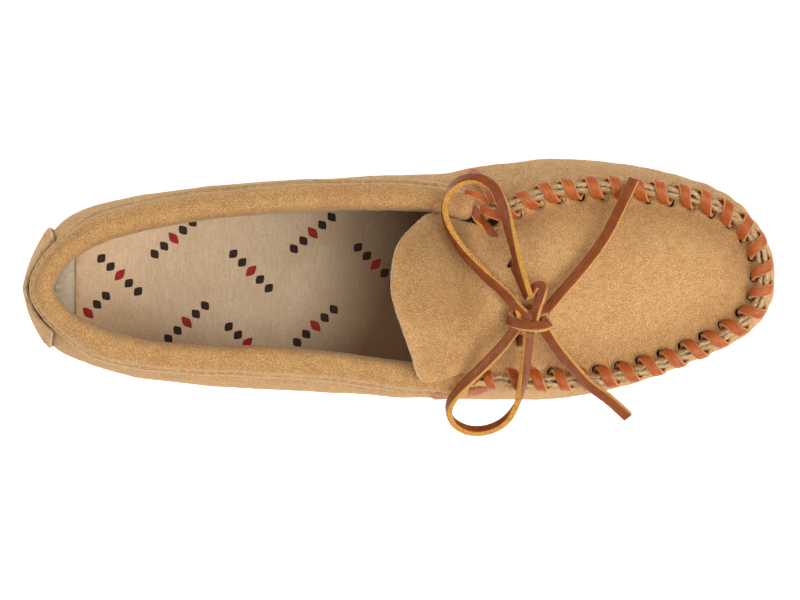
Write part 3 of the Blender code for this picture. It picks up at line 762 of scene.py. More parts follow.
# The strands that run through the knot: x, y, z and the way the grain side faces.
KNOT_STRANDS = [
    [(48.8, -6.0, 66.2, -0.5, 0.2, 0.8), (51.4, -2.6, 66.6, -0.3, 0.6, 0.7),
     (53.6, -2.6, 67.2, -0.1, 0.6, 0.8), (53.2, -6.0, 68.2, -0.5, 0.1, 0.85),
     (51.4, -11.4, 68.2, -0.6, 0.0, 0.78), (50.2, -16.4, 66.6, -0.5, 0.0, 0.85),
     (49.8, -19.6, 65.0, -0.5, 0.0, 0.86)],
    [(43.6, -6.6, 63.6, -0.96, 0.0, 0.2), (43.8, -10.0, 65.2, -0.97, 0.0, 0.2),
     (44.4, -13.8, 66.0, -0.95, 0.0, 0.25), (45.6, -17.6, 65.4, -0.9, 0.0, 0.4)],
    [(42.6, -8.6, 66.9, -0.3, -0.4, 0.86), (45.6, -11.6, 67.0, -0.3, -0.4, 0.86),
     (49.6, -15.4, 65.0, -0.1, -0.3, 0.92), (53.0, -18.0, 63.6, -0.1, -0.2, 0.97)],
    [(43.2, -18.8, 65.8, -0.1, 0.1, 0.98), (47.2, -14.4, 67.0, -0.1, 0.1, 0.98),
     (51.4, -12.4, 66.6, -0.1, 0.1, 0.98), (56.0, -10.6, 64.8, -0.2, 0.1, 0.97)]]
KNOT_CORE = (5.2, -5.4, 3.2)       # half sizes of the lump of lace inside the knot


def knot_core():
    """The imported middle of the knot, a lump with poles along Y."""
    around, rings = 22, 12
    turn = np.linspace(0.0, 2 * math.pi, around, endpoint=False)
    core = []
    for angle in np.linspace(0.05, math.pi - 0.05, rings):
        radius = math.sin(angle)
        pole = np.full(around, KNOT_CORE[1] * math.cos(angle))
        core.append(np.stack([KNOT_CORE[0] * radius * np.cos(turn), pole,
                              KNOT_CORE[2] * radius * np.sin(turn)], 1))
    core = np.vstack(core) + KNOT + (0.0, 0.0, -0.2)
    core = core + 0.25 * noise(core, 2.5, 5)[:, None]
    faces = capped_tube(rings, around)
    return core, faces, np.zeros(len(faces), int), core


def make_knot():
    """The bow's knot: a wrap over the strands that run under it."""
    turns = np.linspace(math.radians(-62), math.radians(242), 60)
    c, s = np.cos(turns), np.sin(turns)
    wrap = KNOT + np.stack([7.1 * c, -2.0 * s - 0.9 * c, 4.4 * s], 1) + (-0.8, -0.8, 1.9)
    parts = [ribbon(wrap, np.stack([c * 0.66, 0.42 + 0.22 * c, s], 1), 3.9, TIE_THICK, 11)]
    for seed, table in enumerate(KNOT_STRANDS, 21):
        parts.append(ribbon(*routed(table, 9), 3.8, 1.8, seed))
    made = lace_object("bow_knot_leather", parts + [knot_core()], BROWN_FACE, GOLD_EDGE)
    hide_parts("bow_knot")
    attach(made, "shoe")


make_knot()


def collar_point(place, out, up):
    """Points out from and up from the top line."""
    return top_line(place) + outward(top_line, place) * out[..., None] + UP * up[..., None]


# The tie lace's two ends under the plug: x, y, z and the way the grain side faces.
TIE_MEDIAL_END = [
    (29.8, 23.2, 52.4, 0.2, 0.5, 0.84), (33.0, 19.6, 49.6, 0.1, 0.5, 0.86),
    (37.4, 13.4, 49.4, 0.0, 0.2, 0.98), (40.8, 9.0, 52.2, -0.5, 0.4, 0.8),
    (42.5, 6.7, 57.0, -0.9, 0.1, 0.3), (43.7, 4.2, 61.4, -0.85, 0.1, 0.5),
    (46.2, -1.4, 62.4, -0.8, -0.1, 0.55), (48.6, -6.9, 62.8, -0.8, -0.2, 0.5)]
TIE_LATERAL_END = [
    (29.6, -35.4, 50.6, 0.0, -0.2, 0.98), (32.4, -31.6, 46.4, 0.0, -0.3, 0.95),
    (36.6, -27.0, 46.8, 0.0, 0.0, 1.0), (40.6, -24.4, 48.2, 0.0, 0.0, 1.0),
    (43.6, -23.5, 49.4, -0.4, 0.0, 0.9), (45.5, -23.2, 53.6, -0.95, 0.0, 0.2),
    (46.6, -22.9, 57.4, -0.95, 0.0, 0.2), (48.4, -22.4, 61.4, -0.9, 0.0, 0.4)]
TUNNEL_ROWS = 90


def make_tie_lace_run():
    """The tie lace in its tunnel round the heel, and up through the plug's slits to the knot."""
    tunnel = np.linspace(LATERAL_COLLAR_END - 0.06, MEDIAL_COLLAR_END + 0.04, TUNNEL_ROWS)
    middle = collar_point(tunnel, np.full(TUNNEL_ROWS, 0.3), np.full(TUNNEL_ROWS, 1.55))
    middle = np.hstack([middle, np.tile(UP, (TUNNEL_ROWS, 1))])
    lateral = curve(np.vstack([middle[:1], TIE_LATERAL_END]), 8)[::-1]
    medial = curve(np.vstack([middle[-1:], TIE_MEDIAL_END]), 8)
    rows = np.vstack([lateral, middle[1:-1], medial])
    pressed = np.ones(len(rows))
    pressed[len(lateral):-len(medial)] = 0.9            # narrower and thinner in the tunnel
    strip = ribbon(rows[:, :3], rows[:, 3:6], 3.9 * pressed, 1.6 * pressed, 9)
    made = lace_object("tie_lace_run_leather", [strip], BROWN_FACE, GOLD_EDGE)
    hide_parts("tie_lace_run")
    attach(made, "shoe")


make_tie_lace_run()

# ---------------------------------------------------------------- the whipstitch

# One stitch from the outer hole over the ridge to the inner hole: distance out from the ridge's
# middle, height above its top, and the way its face looks, out and up.
STITCH = np.array([
    (2.7, -3.7, 1.0, -0.3), (3.15, -2.2, 1.0, 0.0), (3.15, -0.8, 0.98, 0.25), (2.5, 0.55, 0.75, 0.7),
    (1.4, 1.30, 0.35, 0.95), (0.1, 1.55, 0.05, 1.0), (-1.3, 1.30, -0.25, 0.97), (-2.6, 0.55, -0.6, 0.8),
    (-3.6, -0.70, -0.86, 0.5), (-4.15, -2.3, -0.98, 0.2), (-3.9, -4.8, -1.0, -0.3)])
THROUGH_HEIGHT = -6.2

# The lace's two ends on the wall: station, height, distance off the wall.
WALL_ENDS = [
    [(29.80, 26.0, 1.3), (29.88, 30.5, 1.3), (29.97, 36.0, 1.3), (30.05, 41.0, 1.0), (30.10, 45.0, 0.2)],
    [(14.86, 30.5, 1.3), (14.70, 33.0, 1.4), (14.46, 36.5, 1.3), (14.22, 40.5, 1.1), (14.06, 44.5, 0.2)]]

# Short lengths tucked in at the throat: width, then x, y, z and the way the grain side faces.
TUCKED = [
    (2.3, [(24.6, 33.0, 54.2, 0.0, 0.4, 0.9), (28.4, 32.0, 54.4, 0.0, 0.4, 0.9),
           (32.4, 29.8, 52.2, 0.1, 0.3, 0.9)]),
    (3.2, [(30.2, 27.0, 50.4, 0.0, 0.2, 1.0), (33.4, 25.4, 53.2, 0.0, 0.2, 1.0),
           (37.2, 24.0, 53.6, 0.1, 0.2, 1.0), (39.8, 22.4, 50.6, 0.3, 0.1, 0.9)]),
    (3.6, [(32.6, -34.6, 46.0, 0.0, 0.8, 0.5), (33.2, -36.0, 50.0, -0.1, 0.5, 0.8),
           (33.8, -38.0, 51.4, -0.1, 0.0, 1.0), (34.6, -40.2, 50.0, -0.1, -0.7, 0.7),
           (35.2, -41.2, 46.4, 0.0, -1.0, 0.1)])]


def whip_table():
    """Seam distance, place out and up, and facing out, up and ahead, all along the lace."""
    rows = []
    for stitch in range(STITCHES):
        lift = float(lattice(stitch, 8, 2, 6))
        start = (stitch + LACE_START + 0.035 * float(lattice(stitch, 3, 1, 5))) * PITCH
        for step, (out, up, face_out, face_up) in enumerate(STITCH):
            share = step / (len(STITCH) - 1)
            lean = 0.16 * math.cos(share * math.pi) * (1.0 if 0.1 < share < 0.9 else 0.3)
            rows.append((start + OVER_SHARE * PITCH * share, out * (1.0 + 0.03 * lift), up + 0.16 * lift,
                         face_out, face_up, lean))
        for share in (0.3, 0.7):
            along = start + OVER_SHARE * PITCH + share * (1.0 - OVER_SHARE) * PITCH
            rows.append((along, -3.2 + share * 6.0, THROUGH_HEIGHT, 0.0, -1.0, 0.0))
    return curve(np.array(rows), 4)


def make_whipstitch():
    """One flat orange lace wound over the ridge and out through its holes, from throat to throat."""
    table = whip_table()
    place = seam_place(table[:, 0])
    side = outward(top_line, place)
    ahead = np.stack([side[:, 1], -side[:, 0], side[:, 0] * 0.0], 1)
    centres = top_line(place) + side * table[:, 1:2] + UP * table[:, 2:3]
    normals = side * table[:, 3:4] + UP * table[:, 4:5] + ahead * table[:, 5:6]
    parts = [ribbon(centres, normals, 3.8 + 0.18 * line_noise(table[:, 0], 5.0, 4), 1.35, 5, 0.06)]
    for seed, rows in enumerate(WALL_ENDS, 41):
        station, height, off = np.array(rows).T
        facing = wall_normal(station, height) + (0.0, 0.0, 0.25)
        route = np.hstack([behind_wall(station, height, -off), facing])
        parts.append(ribbon(*routed(route, 6), 3.6, 1.4, seed, 0.16))
    for seed, (width, table) in enumerate(TUCKED, 45):
        parts.append(ribbon(*routed(table, 7), width, 1.3, seed, 0.16))
    made = lace_object("whipstitch_lace_leather", parts, ORANGE_FACE, ORANGE_EDGE)
    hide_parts("whipstitch_lace")
    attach(made, "shoe")


make_whipstitch()

# ---------------------------------------------------------------- suede shells

HOLE_STEP = 0.45                      # millimetres between the seam's columns
SEAM_BEFORE, SEAM_AFTER = 3.0, 1.5    # how far the ridge runs on past the seam's two ends
RIDGE_ROWS = 15
LACE_OUTER, LACE_INNER = 3.2, 3.0     # how far out and in from the ridge's middle the lace stands
OUTER_HOLE = (3.3, 2.4, 1.35)         # a lace hole: depth of its middle, half width, half height
INNER_HOLE = (5.2, 2.3, 1.6)
PULL_FROM, PULL_TO = 0.80, 1.22       # radii, in rims, between which the grid is pulled onto a rim
NO_HOLE = 9.0                         # a radius well outside any lace hole


def seam_columns():
    count = int(round((SEAM_LENGTH + SEAM_BEFORE + SEAM_AFTER) / HOLE_STEP))
    return np.linspace(-SEAM_BEFORE, SEAM_LENGTH + SEAM_AFTER, count)


def at_stitch(distance, phase, width):
    """1 at a stitch's point of that phase, falling to 0 between stitches; width is in pitches."""
    return hump(stitch_part(distance, phase)[0], 0.0, width)


def hole_phase(offset):
    """Where in its pitch the lace, slanting out through both layers, crosses this offset."""
    share = (1.0 - OVER_SHARE) * (LACE_INNER + offset) / (LACE_INNER + LACE_OUTER)
    return LACE_START + OVER_SHARE + share - 1.0


def hole_fit(distance, below, phase, middle, half_width, half_height):
    """Pull a seam grid onto the rims of its oval lace holes.

    Returns the new grid, which points are on or in a hole, and each point's radius in rims.
    """
    part, index = stitch_part(distance, phase)
    real = (index >= 0) & (index < STITCHES)
    x = part * PITCH / half_width
    y = (below - middle) / half_height
    radius = np.hypot(x, y)
    near = real & (radius > PULL_FROM) & (radius < PULL_TO)
    scale = np.where(near, 1.0 / np.maximum(radius, 1e-6), 1.0)
    new_distance = distance + (x * scale - x) * half_width
    new_below = below + (y * scale - y) * half_height
    inside = real & (radius < PULL_TO - 1e-9)
    return new_distance, new_below, inside, np.where(real, radius, NO_HOLE)


def cut_holes(faces, inside):
    return faces[~inside[faces].all(1)]


def inside_loops(points, loops):
    """Which points lie inside an odd number of the loops."""
    inside = np.zeros(len(points), bool)
    for loop in loops:
        x1, y1 = loop[:, 0], loop[:, 1]
        x2, y2 = np.roll(x1, -1), np.roll(y1, -1)
        for a, b, c, d in zip(x1, y1, x2, y2):
            if b == d:
                continue
            crosses = (points[:, 1] > b) != (points[:, 1] > d)
            inside ^= crosses & (points[:, 0] < (c - a) * (points[:, 1] - b) / (d - b) + a)
    return inside


def signed_area(plan, tris):
    a, b, c = (plan[tris[:, i]] for i in range(3))
    return float(((b - a)[:, 0] * (c - a)[:, 1] - (b - a)[:, 1] * (c - a)[:, 0]).sum())


def fill_plan(outline, holes, spacing):
    """Points and upward triangles of a flat area; its outline's points come first, then the holes'."""
    loops = [np.asarray(loop, float) for loop in [outline] + holes]
    rim = np.vstack(loops)
    edges, first = [], 0
    for loop in loops:
        edges += [(first + i, first + (i + 1) % len(loop)) for i in range(len(loop))]
        first += len(loop)
    low, high = loops[0].min(0), loops[0].max(0)
    xs = np.arange(low[0], high[0], spacing)
    ys = np.arange(low[1], high[1], spacing * 0.866)
    grid = np.array([(x + (row % 2) * spacing / 2, y) for row, y in enumerate(ys) for x in xs])
    grid = grid[inside_loops(grid, loops)]
    blocks = [gaps(grid[start:start + 2000], rim).min(1) for start in range(0, len(grid), 2000)]
    points = np.vstack([rim, grid[np.concatenate(blocks) > 0.55 * spacing]])
    verts, _, faces, _, _, _ = delaunay_2d_cdt([tuple(p) for p in points], edges, [], 0, 1e-6)
    verts = np.array([tuple(v) for v in verts])
    faces = np.array([f for f in faces if len(f) == 3])
    faces = faces[inside_loops(verts[faces].mean(1), loops)]
    return verts, faces[:, ::-1] if signed_area(verts, faces) < 0 else faces


TURN_ROWS, WALL_ROWS, BACK_COLUMNS = 9, 23, 260


def bottom_heights(top):
    """Heights of the bottom's rows: the turn up from the sole, the wall, then the ridge."""
    rows = [np.full(len(top), WIDEST_HEIGHT * (1.0 - math.sin(drop)))
            for drop in np.radians(np.linspace(90, 8, TURN_ROWS))]
    rows += [WIDEST_HEIGHT + share * (top - SEAM_RIDGE - WIDEST_HEIGHT)
             for share in np.linspace(0.0, 1.0, WALL_ROWS)]
    rows += [top - below for below in np.linspace(SEAM_RIDGE, 0.0, RIDGE_ROWS)[1:]]
    return np.array(rows)


def bottom_grid():
    """The bottom's grid: station, seam distance, depth below the top, height and on the seam or not.

    Also gives which points are in a lace hole, and each point's radius from the nearest hole.
    """
    seam = seam_columns()
    seam_places = seam_place(seam)
    back = np.linspace(seam_places[-1], len(STATIONS) + seam_places[0], BACK_COLUMNS + 2)[1:-1]
    beyond = SEAM_LENGTH + SEAM_AFTER + (back - seam_places[-1]) * 20.0
    places = np.concatenate([seam_places, back])
    count = len(places)
    top = top_line(places)[:, 2]
    heights = bottom_heights(top)
    rows = len(heights)
    place, dist = np.tile(places, rows), np.tile(np.concatenate([seam, beyond]), rows)
    below = (top - heights).ravel()
    on_seam = np.tile(np.arange(count) < len(seam), rows)
    phase = hole_phase(GAP / 2 + BOTTOM_THICK / 2)
    new_dist, new_below, inside, radius = hole_fit(dist, below, phase, *OUTER_HOLE)
    moved = on_seam & (np.abs(new_dist - dist) + np.abs(new_below - below) > 1e-9)
    place[moved] = seam_place(new_dist[moved])
    below[moved] = new_below[moved]
    dist[moved] = new_dist[moved]
    in_turn = np.arange(rows * count) < TURN_ROWS * count
    height = np.where(in_turn, heights.ravel(), top_line(place)[:, 2] - below)
    return place, dist, below, height, on_seam, inside & on_seam, np.where(on_seam, radius, NO_HOLE)


def bottom_surface(place, dist, below, height, on_seam):
    """The bottom's outer face and thickness: the wall with waves, creases, puckers and a torn edge."""
    points = wall(place, np.maximum(height, 0.0))
    normal = wall_normal(place, np.clip(height, 1.0, None))
    level = outward(top_line, place)
    gathered = inside_seam(dist) * on_seam
    part, index = stitch_part(dist, LACE_START - 0.05)
    strength = 0.85 + 0.55 * lattice(index.astype(np.int64), 2, 5, 3)
    depth = np.maximum(below - 3.2, 0.0)
    pucker = (0.62 - 2.00 * strength * hump(part, 0.0, 0.22)) * np.exp(-depth / 8.5)
    pucker = pucker + noise(points, 8.0, 44) * np.exp(-depth / 9.0) * smooth_step(0.0, 3.0, depth)
    squeeze = at_stitch(dist, LACE_START + OVER_SHARE / 2, 0.22)
    splay = 0.30 * (1.0 - squeeze) * smooth_step(4.0, 1.0, below) - smooth_step(2.8, 0.0, below)
    ridge = smooth_step(SEAM_RIDGE + 1.0, SEAM_RIDGE - 2.5, below)
    push = gathered * (pucker * (1.0 - 0.75 * ridge) + splay)
    free = smooth_step(0.0, 8.0, height) * (1.0 - 0.6 * smooth_step(6.0, 0.0, below))
    wave = 0.65 * noise(points, 26.0, 2) + 0.28 * noise(points, 9.0, 3) + 0.06 * noise(points, 2.6, 4)
    crease = np.sin((points[:, 0] * 0.8 + points[:, 2] * 0.9) / 4.6 + 1.5 * noise(points, 18.0, 6))
    crease = hump(points[:, 0], 24.0, 26.0) * crease
    wave = wave + 0.30 * crease * smooth_step(8.0, 22.0, height) * smooth_step(4.0, 14.0, below)
    points = points + normal * (free * wave)[:, None] + level * push[:, None]
    rise = 0.75 * (1.0 - squeeze) - 0.25 + 0.38 * line_noise(dist, 1.6, 9) + 0.50 * line_noise(dist, 4.0, 8)
    points[:, 2] += gathered * smooth_step(2.5, 0.0, below) * rise
    tangle = 0.62 * line_noise(dist, 2.2, 29) * smooth_step(2.0, 0.0, below) * gathered
    points = points + level * tangle[:, None]
    taper = smooth_step(-3.2, 1.5, dist) * on_seam + (1.0 - on_seam)
    points[:, 2] -= (1.0 - taper) * smooth_step(SEAM_RIDGE, 0.0, below) * 2.2
    points[:, 2] = np.maximum(points[:, 2], 0.0)
    return points, BOTTOM_THICK - 0.7 * gathered * smooth_step(3.0, 0.5, below)


def make_bottom():
    """Sole and walls in one suede, puckered where the whipstitch draws it in."""
    *grid, inside, radius = bottom_grid()
    points, thick = bottom_surface(*grid)
    seam = seam_columns()
    count = len(seam) + BACK_COLUMNS
    plan, tris = fill_plan(points[:count, :2], [], 5.0)
    sole = np.hstack([plan[count:], np.zeros((len(plan) - count, 1))])
    sole[:, 2] = 0.10 + 0.35 * (0.5 + 0.5 * noise(sole, 14.0, 12))
    number = np.concatenate([np.arange(count), np.arange(len(sole)) + len(points)])
    strip = cut_holes(grid_faces(len(points) // count, count, True), inside)
    faces = corner_table([strip, number[tris[:, ::-1]]])
    # Painted shade in and round the lace holes; none on the sole.
    shade = np.concatenate([np.clip(1.9 - radius, 0.0, 1.0) * 0.9, np.zeros(len(sole))])
    thick = np.concatenate([thick, np.full(len(sole), BOTTOM_THICK)])
    edge = points[-count:][:len(seam)]
    side = outward(top_line, seam_place(seam))
    tufts = [fibres(edge - side * 0.65, UP * 0.8 - side * 0.5, 1500, 1.1, 1.0, 61),
             fibres(edge - side * 0.3, UP * 0.5 + side * 0.5, 700, 0.9, 1.1, 62),
             fibres(edge - side * 1.15 - UP * 0.3, UP * 0.7, 1000, 0.9, 1.7, 66)]
    made = make_sheet("suede_bottom_leather", (np.vstack([points, sole]), faces), thick, 0.16, 3,
                      [SUEDE_WALL, SUEDE_INSIDE, RAW_EDGE], shade, tufts)
    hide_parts("suede_bottom")
    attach(made, "shoe")


make_bottom()

PLUG_SPINE = np.array([(34.15, -6.0, 62.5), (60.0, -2.0, 57.0), (88.0, 0.5, 48.0), (112.0, 3.0, 40.0)])

# The inner half of the ridge: distance in from the seam's line and height below its top.
RIDGE_PROFILE = np.array([(1.08, 0.0), (1.65, 0.7), (2.0, 1.7), (2.55, 2.8), (3.6, 3.7), (5.0, 4.05),
                          (6.4, 3.8)])
RIDGE_REACH = 7.4

# The tongue's edge from the plug's medial corner round to the lateral side, seen from above.
TONGUE_EDGE = [(36.6, 20.6), (36.9, 19.2), (35.8, 18.6), (31.5, 20.2), (26.0, 21.7), (19.6, 23.4),
               (14.6, 24.7), (11.6, 24.9), (8.2, 22.9), (4.8, 19.7), (1.6, 16.2), (-0.6, 12.4),
               (-1.8, 8.6), (-2.6, 3.6), (-2.9, -1.6), (-2.3, -6.8), (-0.9, -12.2), (0.9, -17.6),
               (3.0, -22.8), (4.8, -28.4), (6.4, -33.6), (8.2, -37.2), (10.6, -38.5), (14.4, -37.8),
               (19.6, -36.4), (25.0, -35.0), (29.4, -33.6), (32.4, -33.0)]

# Heights of the tongue's upper face: x, y, z.
TONGUE_HEIGHTS = [
    (28.0, 18.6, 55.6), (28.0, 12.0, 57.6), (28.0, 4.0, 59.4), (28.0, -6.0, 60.6), (28.0, -16.0, 59.6),
    (28.0, -26.0, 57.2), (28.0, -33.6, 55.4), (20.0, 21.2, 56.4), (20.0, 12.0, 58.4), (20.0, 2.0, 61.2),
    (20.0, -8.0, 61.9), (20.0, -18.0, 61.2), (20.0, -28.0, 59.2), (20.0, -36.0, 57.6), (11.7, 24.7, 57.2),
    (10.6, -38.5, 59.4), (10.0, 14.0, 63.2), (10.0, 4.0, 66.7), (10.0, -6.0, 67.3), (10.0, -17.0, 66.2),
    (10.0, -28.0, 63.0), (1.6, 16.2, 64.6), (-2.4, 6.0, 68.9), (-2.8, -3.0, 70.0), (0.8, -17.5, 67.8),
    (4.5, -27.0, 64.4)]
SLITS = [((42.8, 6.6), 27.0, 2.9, 1.5), ((45.6, -23.3), 114.0, 2.9, 1.6)]


def thin_plate(controls, slack):
    """A smooth height for any plan point, through the control rows of x, y and z."""
    controls = np.asarray(controls, float)
    plan = controls[:, :2] / 50.0

    def kernel(first, second):
        gap = ((first[:, None] - second[None]) ** 2).sum(2)
        return 0.5 * gap * np.log(np.maximum(gap, 1e-12))

    count = len(plan)
    square = np.zeros((count + 3, count + 3))
    square[:count, :count] = kernel(plan, plan) + slack * np.eye(count)
    flat = np.hstack([np.ones((count, 1)), plan])
    square[:count, count:] = flat
    square[count:, :count] = flat.T
    weights = np.linalg.solve(square, np.concatenate([controls[:, 2], np.zeros(3)]))

    def height(points):
        at = np.asarray(points, float)[:, :2] / 50.0
        return kernel(at, plan) @ weights[:count] + np.hstack([np.ones((len(at), 1)), at]) @ weights[count:]

    return height


def plug_controls():
    """The plug's dome: heights on lines from the ridge's foot to the spine."""
    base_in, base_down = RIDGE_PROFILE[-1]
    rows = []
    fan = 12
    spine = catmull(PLUG_SPINE, np.linspace(0, 3, fan + 1))
    places = seam_place(np.linspace(0.0, SEAM_LENGTH, 2 * fan + 9))
    for column, place in enumerate(places):
        top = top_line([place])[0]
        foot = top - outward(top_line, [place])[0] * base_in
        foot[2] = top[2] - base_down
        middle = spine[min(column, len(places) - 1 - column, fan)]
        rows.append(foot)
        for share in (0.16, 0.36, 0.6, 0.82):
            spot = foot + (middle - foot) * share
            spot[2] = foot[2] + (middle[2] - foot[2]) * math.sin(share * math.pi / 2) ** 0.95
            rows.append(spot)
    return np.vstack([rows, spine, TONGUE_HEIGHTS])


def slit_loop(centre, turn, half_length, half_width):
    angles = np.linspace(0.0, 2 * math.pi, 22, endpoint=False)
    x = half_length * np.sign(np.cos(angles)) * np.abs(np.cos(angles)) ** 0.7
    y = half_width * np.sign(np.sin(angles)) * np.abs(np.sin(angles)) ** 0.8
    c, s = math.cos(math.radians(turn)), math.sin(math.radians(turn))
    return np.stack([centre[0] + x * c - y * s, centre[1] + x * s + y * c], 1)


def ridge_strip():
    """The turned-up inner half of the ridge, in rows from its edge to its foot.

    Gives points, faces, thinning, shade and, for one row, the way out from the shoe.
    """
    seam = seam_columns()
    lengths = np.linspace(0.0, 1.0, RIDGE_ROWS + 2)
    rows, count = len(lengths), len(seam)
    dist, down = np.tile(seam, rows), np.repeat(lengths * RIDGE_REACH, count)
    phase = hole_phase(-GAP / 2 - PLUG_THICK / 2)
    new_dist, down, inside, radius = hole_fit(dist, down, phase, *INNER_HOLE)
    profile = catmull(RIDGE_PROFILE, np.clip(down / RIDGE_REACH, 0.0, 1.0) * (len(RIDGE_PROFILE) - 1))
    dist = np.where(np.arange(rows * count) < (rows - 1) * count, new_dist, dist)
    place = seam_place(dist)
    top, side = top_line(place), outward(top_line, place)
    gathered = inside_seam(dist)
    squeeze = at_stitch(dist, LACE_START + OVER_SHARE / 2, 0.22)
    dent = at_stitch(dist, LACE_START + OVER_SHARE, 0.24)
    upper = smooth_step(2.2, 0.0, down)
    folds = 0.35 * (1.0 - squeeze) * smooth_step(4.5, 1.0, down) + 0.60 * line_noise(dist, 2.3, 28) * upper
    away = profile[:, 0] + gathered * (folds - 0.25 * dent * (1.0 - upper))
    rise = 0.70 * (1.0 - squeeze) - 0.25
    rise = rise + 0.36 * line_noise(dist, 1.5, 19) + 0.48 * line_noise(dist, 3.8, 18)
    below = profile[:, 1] - gathered * upper * rise
    below = below + (1.0 - smooth_step(-3.2, 1.5, dist)) * upper * 2.2
    points = top - side * away[:, None] - UP * below[:, None]
    thin = 0.6 * gathered * smooth_step(3.2, 0.5, down)
    # Painted shade: darker at the ridge's foot, more so towards the toe, and in and round the lace holes.
    low_shade = (0.10 + 0.16 * smooth_step(50.0, 115.0, top[:, 0])) * smooth_step(1.5, 5.0, down)
    shade = np.maximum(np.clip(1.7 - radius, 0.0, 1.0), low_shade)
    return points, cut_holes(grid_faces(rows, count), inside), thin, shade, side[:count]


def dome_surface(plan, foot, foot_distance):
    """The plug's and tongue's upper face over its plan, joined to the ridge's foot, and its shade."""
    height = thin_plate(plug_controls(), 2e-4)
    from_foot = gaps(plan, foot[::4, :2])
    nearest, seam_gap = from_foot.argmin(1), from_foot.min(1)
    lift = (foot[:, 2] - height(foot))[::4][nearest]
    dome = np.hstack([plan, (height(plan) + lift * np.exp(-seam_gap / 2.2))[:, None]])
    x, y = plan.T
    free = smooth_step(0.0, 5.0, seam_gap)
    on_tongue = smooth_step(36.0, 22.0, x)
    valley = (x - 27.0) * 0.86 + (y + 6.0) * 0.25       # distance across the fold at the throat
    dome[:, 2] += free * ((0.30 + 0.75 * on_tongue) * noise(dome, 17.0, 31) + 0.16 * noise(dome, 6.0, 32))
    dome[:, 2] -= 1.1 * hump(valley, 0.0, 5.0) * smooth_step(22.0, 8.0, np.abs(y + 8.0))
    dome[:, 2] += 0.55 * hump(valley, 9.0, 3.4) * smooth_step(20.0, 6.0, np.abs(y + 10.0))
    pull = at_stitch(foot_distance[::4][nearest], LACE_START + OVER_SHARE, 0.2)
    dome[:, 2] += (0.25 - 0.75 * pull) * np.exp(-seam_gap / 3.6) * free
    for centre, *_ in SLITS:
        dome[:, 2] += 0.5 * hump(np.hypot(x - centre[0], y - centre[1]), 3.0, 1.6)
    # Painted shade: the tongue darker except at its very edge, more in the fold at the throat and away from
    # its lateral side; the plug darker beside the seam's foot, more towards the toe.
    edge_gap = gaps(plan, curve(TONGUE_EDGE, 8)[::3]).min(1)
    shade = 0.15 * smooth_step(38.0, 24.0, x) * smooth_step(0.0, 5.0, edge_gap)
    shade += 0.20 * hump(valley, 0.0, 6.0) * on_tongue
    shade += on_tongue * (0.15 * smooth_step(-22.0, -8.0, y) + 0.20 * smooth_step(0.0, 20.0, y))
    shade += (0.10 + 0.16 * smooth_step(50.0, 115.0, x)) * np.exp(-seam_gap / 5.0) * (1.0 - on_tongue)
    return dome, shade


def make_plug_and_tongue():
    """Plug and tongue, one hide, with the inner half of the ridge turned up round its edge."""
    seam = seam_columns()
    ridge, strip, thin, shade, side = ridge_strip()
    inner = np.flatnonzero((seam > 0.6) & (seam < SEAM_LENGTH - 0.6))
    foot = ridge[-len(seam):][inner]
    edge = curve(TONGUE_EDGE, 8)
    plan, tris = fill_plan(np.vstack([foot[:, :2], edge[::-1]]), [slit_loop(*s) for s in SLITS], 1.05)
    dome, dome_shade = dome_surface(plan, foot, seam[inner])
    dome, dome_shade = dome[len(foot):], dome_shade[len(foot):]
    number = np.concatenate([inner + len(ridge) - len(seam), np.arange(len(dome)) + len(ridge)])
    faces = corner_table([strip, number[tris]])
    thick = PLUG_THICK - np.concatenate([thin, np.zeros(len(dome))])
    rim, free_edge = ridge[:len(seam)], dome[:len(edge)]
    off_edge = np.gradient(free_edge, axis=0)[:, [1, 0, 2]] * (1.0, -1.0, 0.0)
    tufts = [fibres(rim + side * 0.6, UP * 0.8 + side * 0.5, 1500, 1.1, 1.0, 63),
             fibres(rim + side * 0.2, UP * 0.5 - side * 0.5, 600, 0.8, 1.1, 64),
             fibres(free_edge - UP * 0.7, UP * 0.3 + off_edge, 900, 0.7, 1.2, 65)]
    made = make_sheet("plug_and_tongue_leather", (np.vstack([ridge, dome]), faces), thick, 0.15, 13,
                      [SUEDE_PLUG, SUEDE_INSIDE, RAW_EDGE], np.concatenate([shade, dome_shade]), tufts)
    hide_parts("plug", "tongue_flap")
    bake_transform(made)


make_plug_and_tongue()

# The cuff's section from its outer raw edge over to the inside: out and up from the top line.
COLLAR_PROFILE = np.array([(7.0, -3.9), (6.1, -1.7), (5.5, 1.8), (3.3, 4.0), (0.3, 5.0), (-2.3, 4.3),
                           (-4.0, 1.8), (-4.4, -1.8), (-3.7, -7.0), (-2.7, -12.5)])


def heel_narrowing(place):
    """How much narrower the cuff's outer half gets round the heel."""
    return 1.0 - 0.32 * smooth_step(-112.0, -127.0, top_line(place)[:, 0])


